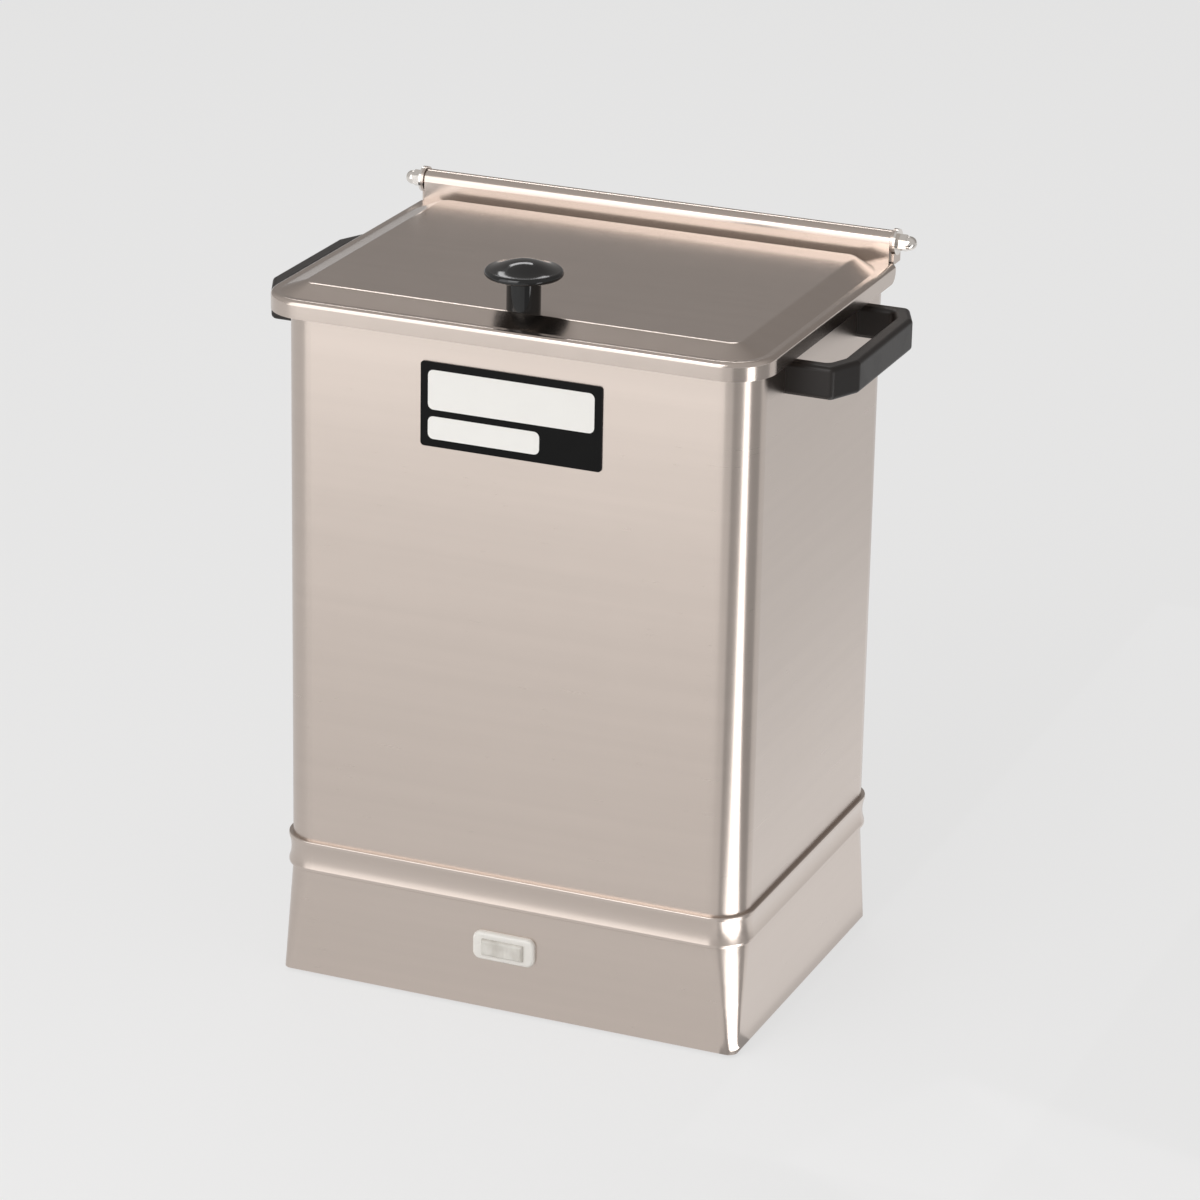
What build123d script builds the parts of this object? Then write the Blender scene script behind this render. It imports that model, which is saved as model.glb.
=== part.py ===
"""Hot pack heater: a countertop stainless steel tank that keeps steam packs in hot water.

The tank stands on a base skirt that holds the thermostat, the terminals and the pilot lamp.
A hinged lid turns on a long rod between two ears of a fixed rail at the back of the rim.
Millimetres, +Z up, front towards -Y, origin on the table below the middle of the heater.
"""
import os

from build123d import *

os.makedirs("parts", exist_ok=True)

# ------------------------------------------------------------------ driving sizes
# tank and skirt
SHEET = 0.9  # stainless sheet of tank, skirt, lid and cover
BODY_W = 262.0  # left to right
BODY_D = 200.0  # front to back
BODY_R = 18.5  # upright corners
FOOT_SHOW = 2.0  # foot height below the skirt
FLOOR_Z = 64.0  # underside of the tank floor
FLOOR_R = 10.0  # bend between tank wall and floor
RIM_Z = 381.5  # top of the tank rim
RIM_LIP = 4.0  # depth of the rim's turned-down lip
SKIRT_FLANGE = 12.0  # inturned flange at the foot of the skirt

SKIRT_FOOT_R = 5.0  # upright corners of the skirt at its foot

# the band where the skirt laps the tank: two ridges with a shallow cove between them
BAND_Z = 61.4  # bottom of the lap
BAND_H = 17.6
RIDGE_OUT = 1.3
COVE_OUT = 0.1  # deepest place of the cove, still proud of the lap
LOW_RIDGE_H = 1.9
TOP_RIDGE_H = 2.1
RIDGE_EDGE_R = 0.7

# lid
LID_GAP = 0.3  # closed lid above the rim
LID_SIDE = 7.3  # overhang at the sides
LID_FRONT = 12.7  # overhang at the front
LID_R = 24.0
LID_EDGE_R = 2.6
LID_FLANGE = 9.7  # turned-down edge
LID_FLANGE_END_R = 6.0
BRIM = 5.2  # flat brim round the raised panel
PANEL_RISE = 4.8
PANEL_SLOPE = 13.4  # width of the panel's sloping sides
PANEL_REAR_SLOPE = 5.0
PANEL_BEND_R = 4.5
PANEL_CORNER_R = 6.0

# hinge
HINGE_IN = 9.5  # rod axis in front of the body's back wall
HINGE_UP = 12.0  # rod axis above the rim
ROD_D = 9.8
ROD_CLEARANCE = 0.05
ROD_END_D = 5.0
BARREL_INSET = 3.9  # barrel end inside the lid's side
BARREL_PLAY = 0.5
RAIL_T = 1.5
RAIL_IN = 3.5  # front edge of the rail in front of the rod axis
RAIL_R = 22.0
EAR_R = 7.0
UPSTAND_BEND_R = 1.5
ROLL_MOUTH = 1.3
WASHER_D = 14.0
WASHER_T = 1.2
ACORN_AF = 8.0
ACORN_HEX_H = 5.2
ACORN_H = 10.0

# knob
KNOB_IN = 26.7  # behind the lid's front edge
KNOB_STEM_D = 17.6
KNOB_CAP_D = 40.5
KNOB_H = 25.4
KNOB_RIM_Z = 18.8
KNOB_NECK_Z = 14.0
KNOB_RIM_R = 1.9

# handles
HANDLE_TOP_GAP = 12.2  # handle top below the rim
HANDLE_H = 17.5
HANDLE_T = 9.2
HANDLE_SPAN = 114.8  # outside of the two arms
HANDLE_OUT = 33.6  # grip's outer face from the wall
HANDLE_CORNER_OUT = 8.0
HANDLE_CORNER_ALONG = 18.0
HANDLE_EDGE_R = 2.6

# fasteners and clearances
M5_D = 4.9
M5_HEAD_D = 9.5
M5_HEAD_H = 3.2
HOLE_CLEARANCE = 0.3  # radial, screw in a plain hole
THREAD_CLEARANCE = 0.05  # radial, screw in its thread
INSERT_D = 7.0
INSERT_L = 11.0

# front panel pieces
LABEL_W = 100.4
LABEL_H = 45.4
LABEL_T = 0.8
LABEL_Z = 334.3  # middle of the label
LAMP_W = 35.3
LAMP_H = 16.0
LAMP_Z = 38.5  # middle of the lamp
LAMP_FLANGE_T = 3.0
LAMP_BODY_W = 28.4
LAMP_BODY_H = 11.4
LAMP_BODY_DEEP = 17.0
LAMP_WALL = 1.5
LAMP_R = 4.4  # corners of the bezel
LAMP_EDGE_R = 1.8
LENS_IN_W = 2.3  # edge of the body to the lens
LENS_IN_H = 1.2
LENS_LEDGE = 0.8  # ledge that the lens rests on
LENS_OUT = 2.2  # lens in front of the bezel
LENS_SEAT = 2.4
BULB_D = 6.0
BULB_L = 13.0
LAMP_TAB_X = 6.0
TAB_W = 4.8  # push-on tabs of lamp, thermostat and cut-out
TAB_T = 0.8
TAB_L = 7.0

# rack for the packs
WIRE_D = 3.2
HOOP_D = 2.8
UPRIGHT_D = 2.4
RACK_LEG_D = 4.0
RACK_GAP_X = 9.5  # body's outside to the rack's loop
RACK_GAP_Y = 8.5
RACK_CORNER_R = 14.0
RACK_BASE_UP = 23.0  # base wires above the tank floor
RACK_TOP_UP = 270.0
RACK_DIVIDER_IN = 11.0  # hoop's side in from the loop's side
RACK_BAYS = 4
RACK_CROSS_WIRES = 6

# heating element and its fittings
ELEMENT_D = 8.0
ELEMENT_IN_X = 27.5  # element's side in from the body's side
ELEMENT_IN_Y = 33.5
ELEMENT_UP = 13.0
ELEMENT_BEND_R = 17.0
ELEMENT_LEG_BEND_R = 7.0
ELEMENT_LEG_X = 22.0
GLAND_HEAD_D = 20.0
GLAND_HEAD_H = 4.0
GLAND_THREAD_D = 13.6
GASKET_T = 1.6
NUT_T = 5.0
ELEMENT_COLD_L = 20.0  # sheath below the tank floor
PIN_D = 4.0
PIN_L = 8.0

# thermostat and its adjuster
THERMOSTAT_X = -50.0
THERMOSTAT_Y = 18.0
THERMOSTAT_W = 34.0
THERMOSTAT_DEPTH = 28.0
THERMOSTAT_H = 26.0
BRACKET_H = 18.0
BRACKET_T = 1.5
BRACKET_FOOT = 9.0
RIVET_D = 3.2
RIVET_HEAD_D = 6.0
RIVET_HEAD_H = 1.0
THERMOSTAT_TAB_X = 8.0
BUSHING_D = 9.0
BUSHING_L = 7.0
STEM_D = 6.0
STEM_CLEARANCE = 0.05
STEM_SLOT = 1.2
ACCESS_HOLE_D = 11.0
BULB_UP = 12.0
CAPILLARY_D = 2.2
SENSOR_D = 7.0
SENSOR_L = 62.0
SENSOR_IN = 26.0  # sensor's near end from the capillary's gland
SENSOR_BACK = 8.0  # gland in front of the thermostat's middle
CLIP_W = 10.0
CLIP_T = 1.0
SMALL_NUT_AF = 13.0
SMALL_NUT_T = 3.0

# high-limit cut-out under the tank floor
CUTOUT_X = 45.0
CUTOUT_Y = -30.0
CUTOUT_D = 17.0
CUTOUT_H = 7.0
CUTOUT_TAB_X = 4.5
CUTOUT_TAB_L = 8.0
STRAP_T = 1.0
STRAP_W = 12.0
STRAP_FOOT = 7.0

# bottom cover
COVER_GAP = 0.5
FOOT_D = 18.0
FOOT_IN_X = 26.5  # foot's middle in from the body's side
FOOT_IN_Y = 25.5
FOOT_NECK_D = 6.4
FOOT_NECK_CLEARANCE = 0.1
FOOT_BARB_D = 9.0
FOOT_BARB_H = 3.0
VENT_L = 28.0
VENT_W = 3.2
VENT_PITCH = 9.0
COVER_SCREW_D = 3.4
COVER_SCREW_HEAD_D = 6.6
COVER_SCREW_L = 8.0
COVER_NUT_AF = 6.0
COVER_NUT_T = 2.6

# mains inlet
GLAND_X = 67.0
GLAND_Z = 32.0
CORD_BORE_D = 8.4
CORD_GLAND_HEX_AF = 19.0
CORD_GLAND_OUT = 10.0
CORD_GLAND_THREAD_D = 15.0
CORD_GLAND_IN = 9.0

# terminals, earth and leads
BLOCK_IN_Y = 39.5  # block's middle in from the skirt's back
BLOCK_W = 44.0
BLOCK_D = 18.0
BLOCK_H = 16.0
POLES = 4
POLE_PITCH = 10.0
POLE_BORE_D = 4.0
POLE_SCREW_D = 4.4
POLE_SCREW_H = 1.6
EARTH_X = -10.0
EARTH_IN_Y = 27.5
STUD_D = 4.0
STUD_L = 14.0
STUD_NUT_AF = 7.0
LEAD_D = 2.6

# ------------------------------------------------------------------ derived places
HALF_W = BODY_W / 2
HALF_D = BODY_D / 2
FLOOR_TOP = FLOOR_Z + SHEET
RIM_OUT = LID_SIDE - 2 * SHEET  # rim flange, a sheet's gap inside the lid's flange
BAND_TOP = BAND_Z + BAND_H

LID_X = HALF_W + LID_SIDE
LID_FRONT_Y = -HALF_D - LID_FRONT
BRIM_Z = RIM_Z + LID_GAP + SHEET
LID_BOTTOM = BRIM_Z - LID_FLANGE
PANEL_Z = BRIM_Z + PANEL_RISE

AXIS_Y = HALF_D - HINGE_IN
AXIS_Z = RIM_Z + HINGE_UP
BORE_R = ROD_D / 2 + ROD_CLEARANCE
BARREL_R = BORE_R + SHEET
UPSTAND_Y = AXIS_Y - BARREL_R  # front face of the lid's rear upstand
BARREL_HALF = LID_X - BARREL_INSET
EAR_IN = BARREL_HALF + BARREL_PLAY
EAR_OUT = EAR_IN + RAIL_T
RAIL_FRONT_Y = AXIS_Y - RAIL_IN
RAIL_BACK_Y = -LID_FRONT_Y

HANDLE_Z = RIM_Z - HANDLE_TOP_GAP - HANDLE_H
HANDLE_ARM_Y = (HANDLE_SPAN - HANDLE_T) / 2
HANDLE_MID_Z = HANDLE_Z + HANDLE_H / 2

COVER_Z = FOOT_SHOW + SHEET
COVER_TOP = COVER_Z + SHEET
THERMOSTAT_Z = COVER_TOP + BRACKET_H
BULB_Y = THERMOSTAT_Y - SENSOR_BACK
KNOB_Y = LID_FRONT_Y + KNOB_IN
RACK_W = BODY_W - 2 * RACK_GAP_X
RACK_D = BODY_D - 2 * RACK_GAP_Y
RACK_DIVIDER_W = RACK_W - 2 * RACK_DIVIDER_IN
ELEMENT_W = BODY_W - 2 * ELEMENT_IN_X
ELEMENT_DEPTH = BODY_D - 2 * ELEMENT_IN_Y
FOOT_X = HALF_W - FOOT_IN_X
FOOT_Y = HALF_D - FOOT_IN_Y
BLOCK_X = GLAND_X
BLOCK_Y = HALF_D - BLOCK_IN_Y
EARTH_Y = HALF_D - EARTH_IN_Y


def rounded_block(width, depth, radius, bottom, top):
    """An upright block with rounded corners, centred on the heater."""
    with BuildPart() as block:
        with BuildSketch(Plane.XY.offset(bottom)):
            RectangleRounded(width, depth, radius)
        extrude(amount=top - bottom)
    return block.part


def tube_along(points, bends, diameter):
    """A round bar along straight runs joined by tangent arcs."""
    with BuildPart() as tube:
        with BuildLine() as path:
            FilletPolyline(*points, radius=bends)
        start = path.line @ 0
        along = path.line % 0
        with BuildSketch(Plane(origin=start, z_dir=along)):
            Circle(diameter / 2)
        sweep(path=path.line)
    return tube.part


def pan_screw(diameter, head_diameter, head_height, length):
    """A slotted pan-head screw: head on +Z, shank down from the origin."""
    with BuildPart() as screw:
        with BuildSketch(Plane.XY):
            Circle(head_diameter / 2)
        extrude(amount=head_height)
        fillet(screw.edges().group_by(Axis.Z)[-1], head_height * 0.45)
        with BuildSketch(Plane.XY):
            Circle(diameter / 2)
        extrude(amount=-length)
        chamfer(screw.edges().group_by(Axis.Z)[0], diameter * 0.12)
        with BuildSketch(Plane.XY.offset(head_height)):
            Rectangle(head_diameter, head_diameter * 0.13)
        extrude(amount=-head_height * 0.4, mode=Mode.SUBTRACT)
    return screw.part


def rectangle_corners(width, depth):
    """The four corners of a rectangle centred on the heater, in turn."""
    return [(-width / 2, -depth / 2), (width / 2, -depth / 2), (width / 2, depth / 2),
            (-width / 2, depth / 2)]


def hex_nut(across_flats, bore_diameter, height):
    """A plain hexagon nut standing on the origin."""
    with BuildPart() as nut:
        with BuildSketch(Plane.XY):
            RegularPolygon(across_flats / 2, 6, major_radius=False)
            Circle(bore_diameter / 2, mode=Mode.SUBTRACT)
        extrude(amount=height)
    return nut.part


def washer(outer_diameter, bore_diameter, thickness):
    """A flat washer standing on the origin."""
    with BuildPart() as ring:
        with BuildSketch(Plane.XY):
            Circle(outer_diameter / 2)
            Circle(bore_diameter / 2, mode=Mode.SUBTRACT)
        extrude(amount=thickness)
    return ring.part


# ------------------------------------------------------------------ tank
FLOOR_HOLES = [(-ELEMENT_LEG_X, ELEMENT_DEPTH / 2), (ELEMENT_LEG_X, ELEMENT_DEPTH / 2)]

with BuildPart() as tank_well:
    add(rounded_block(BODY_W - 2 * SHEET, BODY_D - 2 * SHEET, BODY_R - SHEET, FLOOR_TOP, RIM_Z))
    fillet(tank_well.edges().group_by(Axis.Z)[0], FLOOR_R - SHEET)

with BuildPart() as tank:
    add(rounded_block(BODY_W, BODY_D, BODY_R, FLOOR_Z, RIM_Z))
    fillet(tank.edges().group_by(Axis.Z)[0], FLOOR_R)
    # outturned rim with a lip turned down at its edge
    add(rounded_block(BODY_W + 2 * RIM_OUT, BODY_D + 2 * RIM_OUT, BODY_R + RIM_OUT,
                      RIM_Z - RIM_LIP, RIM_Z))
    with BuildSketch(Plane.XY.offset(RIM_Z - RIM_LIP)):
        RectangleRounded(BODY_W + 2 * (RIM_OUT - SHEET), BODY_D + 2 * (RIM_OUT - SHEET),
                         BODY_R + RIM_OUT - SHEET)
        RectangleRounded(BODY_W, BODY_D, BODY_R, mode=Mode.SUBTRACT)
    extrude(amount=RIM_LIP - SHEET, mode=Mode.SUBTRACT)
    add(tank_well.part, mode=Mode.SUBTRACT)
    # floor holes for the element's two glands and the sensor's gland
    with Locations((0, 0, FLOOR_TOP)):
        with Locations(*FLOOR_HOLES):
            Hole(GLAND_THREAD_D / 2 + HOLE_CLEARANCE, depth=2 * SHEET)
    with Locations((THERMOSTAT_X, BULB_Y, FLOOR_TOP)):
        Hole(BUSHING_D / 2 + HOLE_CLEARANCE, depth=2 * SHEET)
    # handle screw holes through both side walls
    for arm_y in (-HANDLE_ARM_Y, HANDLE_ARM_Y):
        with BuildSketch(Plane.YZ.offset(-HALF_W - SHEET)):
            with Locations((arm_y, HANDLE_MID_Z)):
                Circle(M5_D / 2 + HOLE_CLEARANCE)
        extrude(amount=BODY_W + 2 * SHEET, mode=Mode.SUBTRACT)
tank.part.label = "tank"
export_step(tank.part, "parts/tank.step")

# ------------------------------------------------------------------ base skirt
LAP_W = BODY_W + 2 * SHEET
LAP_D = BODY_D + 2 * SHEET
LAP_R = BODY_R + SHEET


COVE_LOW = BAND_Z + LOW_RIDGE_H
COVE_HIGH = BAND_TOP - TOP_RIDGE_H


def skirt_corner(height):
    """Radius of the skirt's upright corners at that height: they narrow towards the foot."""
    return SKIRT_FOOT_R + (BODY_R - SKIRT_FOOT_R) * (height - FOOT_SHOW) / (BAND_Z - FOOT_SHOW)


def narrowing_block(width, depth, thinner, bottom, top):
    """A block with the skirt's corners, less that much of their radius."""
    with BuildPart() as block:
        for height in (bottom, top):
            with BuildSketch(Plane.XY.offset(height)):
                RectangleRounded(width, depth, skirt_corner(height) - thinner)
        loft(ruled=True)
    return block.part


def band_round_the_lap():
    """The rolled band, swept round the lap from its section at the front."""
    with BuildPart() as band:
        with BuildLine() as path:
            FilletPolyline(*[(x, y, 0) for x, y in rectangle_corners(LAP_W, LAP_D)], radius=LAP_R, close=True)
        ridge = -LAP_D / 2 - RIDGE_OUT
        wall = -LAP_D / 2 + SHEET / 2
        with BuildSketch(Plane.YZ.offset((path.wire() @ 0).X)) as section:
            with BuildLine():
                Polyline((ridge, COVE_HIGH), (ridge, BAND_TOP), (wall, BAND_TOP), (wall, BAND_Z),
                         (ridge, BAND_Z), (ridge, COVE_LOW))
                ThreePointArc((ridge, COVE_LOW), (-LAP_D / 2 - COVE_OUT, (COVE_LOW + COVE_HIGH) / 2),
                              (ridge, COVE_HIGH))
            make_face()
            fillet(section.vertices().group_by(Axis.X)[0], RIDGE_EDGE_R)
        sweep(path=path.wire())
    return band.part


with BuildPart() as base_skirt:
    add(narrowing_block(BODY_W, BODY_D, 0, FOOT_SHOW, BAND_Z))
    add(rounded_block(LAP_W, LAP_D, LAP_R, BAND_Z, BAND_TOP))
    add(band_round_the_lap())
    # hollow: the lower part's own wall, then the lap round the tank's wall
    add(narrowing_block(BODY_W - 2 * SHEET, BODY_D - 2 * SHEET, SHEET, COVER_Z, BAND_Z), mode=Mode.SUBTRACT)
    add(rounded_block(BODY_W - 2 * SHEET, BODY_D - 2 * SHEET, BODY_R - SHEET, BAND_Z, BAND_Z + SHEET),
        mode=Mode.SUBTRACT)
    add(rounded_block(BODY_W, BODY_D, BODY_R, BAND_Z + SHEET, BAND_TOP), mode=Mode.SUBTRACT)
    # opening inside the inturned flange
    add(rounded_block(BODY_W - 2 * (SHEET + SKIRT_FLANGE), BODY_D - 2 * (SHEET + SKIRT_FLANGE),
                      BODY_R - SHEET - SKIRT_FLANGE, FOOT_SHOW, COVER_Z), mode=Mode.SUBTRACT)
    # window for the pilot lamp
    with BuildSketch(Plane.XZ.offset(HALF_D - 2 * SHEET)):
        with Locations((0, LAMP_Z)):
            Rectangle(LAMP_BODY_W + 2 * HOLE_CLEARANCE, LAMP_BODY_H + 2 * HOLE_CLEARANCE)
    extrude(amount=4 * SHEET, mode=Mode.SUBTRACT)
    # hole for the cord gland at the back
    with BuildSketch(Plane.XZ.offset(-HALF_D - SHEET)):
        with Locations((GLAND_X, GLAND_Z)):
            Circle(CORD_GLAND_THREAD_D / 2 + HOLE_CLEARANCE)
    extrude(amount=3 * SHEET, mode=Mode.SUBTRACT)
    # countersunk holes for the cover screws
    COVER_SCREWS = [
        (x, y)
        for x in (-(HALF_W - SHEET - SKIRT_FLANGE / 2), HALF_W - SHEET - SKIRT_FLANGE / 2)
        for y in (-HALF_D / 3, HALF_D / 3)
    ]
    with BuildSketch(Plane.XY.offset(FOOT_SHOW)):
        with Locations(*COVER_SCREWS):
            Circle(COVER_SCREW_HEAD_D / 2 + THREAD_CLEARANCE)
    extrude(amount=SHEET, mode=Mode.SUBTRACT, taper=45)
base_skirt.part.label = "base_skirt"
export_step(base_skirt.part, "parts/base_skirt.step")

# ------------------------------------------------------------------ bottom cover, feet, cover screws
COVER_W = BODY_W - 2 * (SHEET + COVER_GAP)
COVER_D = BODY_D - 2 * (SHEET + COVER_GAP)
BRACKET_FOOT_X = THERMOSTAT_W / 2 + BRACKET_T + BRACKET_FOOT / 2
RIVETS = [(THERMOSTAT_X - BRACKET_FOOT_X, THERMOSTAT_Y), (THERMOSTAT_X + BRACKET_FOOT_X, THERMOSTAT_Y)]
FEET = [(x, y) for x in (-FOOT_X, FOOT_X) for y in (-FOOT_Y, FOOT_Y)]

with BuildPart() as bottom_cover:
    add(rounded_block(COVER_W, COVER_D, BODY_R - SHEET - COVER_GAP, COVER_Z, COVER_TOP))
    with BuildSketch(Plane.XY.offset(COVER_Z)):
        with Locations(*COVER_SCREWS):
            Circle(COVER_SCREW_D / 2 + HOLE_CLEARANCE)
        with Locations(*FEET):
            Circle(FOOT_NECK_D / 2 + FOOT_NECK_CLEARANCE)
        with Locations(*RIVETS):
            Circle(RIVET_D / 2 + THREAD_CLEARANCE)
        with Locations((THERMOSTAT_X, THERMOSTAT_Y)):
            Circle(ACCESS_HOLE_D / 2)
        with Locations((0, -HALF_D / 2)):
            with GridLocations(VENT_L * 1.4, VENT_PITCH, 3, 4):
                SlotOverall(VENT_L, VENT_W)
        with Locations((HALF_W / 3, 0)):
            with GridLocations(VENT_L * 1.4, VENT_PITCH, 2, 3):
                SlotOverall(VENT_L, VENT_W)
    extrude(amount=SHEET, mode=Mode.SUBTRACT)
bottom_cover.part.label = "bottom_cover"
export_step(bottom_cover.part, "parts/bottom_cover.step")

with BuildPart() as rubber_feet:
    for spot in FEET:
        with BuildSketch(Plane.XY):
            with Locations(spot):
                Circle(FOOT_D / 2)
        extrude(amount=COVER_Z)
        with BuildSketch(Plane.XY.offset(COVER_Z)):
            with Locations(spot):
                Circle(FOOT_NECK_D / 2)
        extrude(amount=SHEET)
        with BuildSketch(Plane.XY.offset(COVER_TOP)):
            with Locations(spot):
                Circle(FOOT_BARB_D / 2)
        extrude(amount=FOOT_BARB_H, taper=20)
    fillet(rubber_feet.edges().group_by(Axis.Z)[0], 0.8)
rubber_feet.part.label = "rubber_feet"
export_step(rubber_feet.part, "parts/rubber_feet.step")

with BuildPart() as cover_screws:
    for spot in COVER_SCREWS:
        with BuildSketch(Plane.XY.offset(FOOT_SHOW)):
            with Locations(spot):
                Circle(COVER_SCREW_HEAD_D / 2)
        extrude(amount=SHEET, taper=45)
        with BuildSketch(Plane.XY.offset(FOOT_SHOW)):
            with Locations(spot):
                Circle(COVER_SCREW_D / 2)
        extrude(amount=COVER_SCREW_L)
cover_screws.part.label = "cover_screws"
export_step(cover_screws.part, "parts/cover_screws.step")

with BuildPart() as cover_nuts:
    with Locations(*[(x, y, COVER_TOP) for x, y in COVER_SCREWS]):
        add(hex_nut(COVER_NUT_AF, COVER_SCREW_D + 2 * THREAD_CLEARANCE, COVER_NUT_T))
cover_nuts.part.label = "cover_nuts"
export_step(cover_nuts.part, "parts/cover_nuts.step")

# ------------------------------------------------------------------ lid


def lid_form(inset, drop, reach):
    """Outside of the lid without its hinge; inset, lowered and made longer it is the hollow."""
    brim = BRIM_Z - drop
    panel = PANEL_Z - drop
    front = LID_FRONT_Y + inset
    back = UPSTAND_Y + SHEET + reach
    side = LID_X - inset
    foot_x = LID_X - BRIM
    foot_front = LID_FRONT_Y + BRIM
    foot_back = UPSTAND_Y - UPSTAND_BEND_R
    with BuildPart() as form:
        with BuildSketch(Plane.XY.offset(LID_BOTTOM)) as outline:
            with Locations((0, (front + back) / 2)):
                Rectangle(2 * side, back - front)
            fillet(outline.vertices().group_by(Axis.Y)[0], LID_R - inset)
        extrude(amount=brim - LID_BOTTOM)
        top_edges = form.faces().sort_by(Axis.Z)[-1].edges().sort_by(Axis.Y)[:-1]
        fillet(top_edges, LID_EDGE_R - inset)
        with BuildSketch(Plane.XY.offset(brim)):
            with Locations((0, (foot_front + foot_back) / 2)):
                RectangleRounded(2 * foot_x, foot_back - foot_front, LID_R - BRIM)
        with BuildSketch(Plane.XY.offset(panel)):
            with Locations((0, (foot_front + PANEL_SLOPE + foot_back - PANEL_REAR_SLOPE) / 2)):
                RectangleRounded(2 * (foot_x - PANEL_SLOPE),
                                 foot_back - PANEL_REAR_SLOPE - foot_front - PANEL_SLOPE,
                                 PANEL_CORNER_R)
        loft(ruled=True)
        fillet(form.faces().sort_by(Axis.Z)[-1].edges(), PANEL_BEND_R)
    return form.part


with BuildPart() as lid:
    add(lid_form(0, 0, 0))
    add(lid_form(SHEET, SHEET, 2 * SHEET), mode=Mode.SUBTRACT)
    # rounded lower corners where the side flanges end
    end_edges = (lid.edges().filter_by(Axis.X).group_by(Axis.Z)[0].group_by(Axis.Y)[-1])
    fillet(end_edges, LID_FLANGE_END_R)
    # rear edge turned up and rolled into the hinge barrel
    with BuildSketch(Plane.YZ.offset(-BARREL_HALF)) as roll:
        with Locations((UPSTAND_Y + SHEET / 2, (BRIM_Z - SHEET + AXIS_Z) / 2)):
            Rectangle(SHEET, AXIS_Z - BRIM_Z + SHEET)
        with Locations((AXIS_Y, AXIS_Z)):
            Circle(BARREL_R)
            Circle(BORE_R, mode=Mode.SUBTRACT)
        with Locations((UPSTAND_Y + SHEET + ROLL_MOUTH / 2, AXIS_Z - BARREL_R / 2)):
            Rectangle(ROLL_MOUTH, BARREL_R, mode=Mode.SUBTRACT)
    extrude(amount=2 * BARREL_HALF)
    # hole for the knob screw
    with Locations((0, KNOB_Y, PANEL_Z)):
        Hole(M5_D / 2 + HOLE_CLEARANCE, depth=3 * SHEET)
lid.part.label = "lid"
export_step(lid.part, "parts/lid.step")

# ------------------------------------------------------------------ knob and its fastening
with BuildPart() as lid_knob:
    with BuildSketch(Plane.XZ) as profile:
        with BuildLine():
            stem_r = KNOB_STEM_D / 2
            cap_r = KNOB_CAP_D / 2
            foot = (0, 0)
            Line(foot, (stem_r, 0))
            Line((stem_r, 0), (stem_r, KNOB_NECK_Z))
            Spline((stem_r, KNOB_NECK_Z), (cap_r - KNOB_RIM_R, KNOB_RIM_Z - KNOB_RIM_R),
                   tangents=[(0.55, 0.45), (1, 0.12)])
            TangentArc((cap_r - KNOB_RIM_R, KNOB_RIM_Z - KNOB_RIM_R),
                       (cap_r - KNOB_RIM_R, KNOB_RIM_Z + KNOB_RIM_R), tangent=(1, 0))
            Spline((cap_r - KNOB_RIM_R, KNOB_RIM_Z + KNOB_RIM_R), (0, KNOB_H),
                   tangents=[(-1, 0.22), (-1, 0)])
            Line((0, KNOB_H), foot)
        make_face()
    revolve(axis=Axis.Z)
    with BuildSketch(Plane.XY):
        Circle(INSERT_D / 2)
    extrude(amount=INSERT_L, mode=Mode.SUBTRACT)
lid_knob.part = lid_knob.part.moved(Location((0, KNOB_Y, PANEL_Z)))
lid_knob.part.label = "lid_knob"
export_step(lid_knob.part, "parts/lid_knob.step")

with BuildPart() as knob_insert:
    with BuildSketch(Plane.XY.offset(PANEL_Z)):
        with Locations((0, KNOB_Y)):
            Circle(INSERT_D / 2)
            Circle(M5_D / 2 + THREAD_CLEARANCE, mode=Mode.SUBTRACT)
    extrude(amount=INSERT_L)
knob_insert.part.label = "knob_insert"
export_step(knob_insert.part, "parts/knob_insert.step")

LID_UNDER = PANEL_Z - SHEET
with BuildPart() as knob_washer:
    with Locations((0, KNOB_Y, LID_UNDER - WASHER_T)):
        add(washer(WASHER_D, M5_D + 2 * HOLE_CLEARANCE, WASHER_T))
knob_washer.part.label = "knob_washer"
export_step(knob_washer.part, "parts/knob_washer.step")

with BuildPart() as knob_screw:
    with Locations(Location((0, KNOB_Y, LID_UNDER - WASHER_T), (180, 0, 0))):
        add(pan_screw(M5_D, M5_HEAD_D, M5_HEAD_H, WASHER_T + SHEET + INSERT_L - 2))
knob_screw.part.label = "knob_screw"
export_step(knob_screw.part, "parts/knob_screw.step")

# ------------------------------------------------------------------ hinge: rail, rod, washers, nuts

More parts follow.
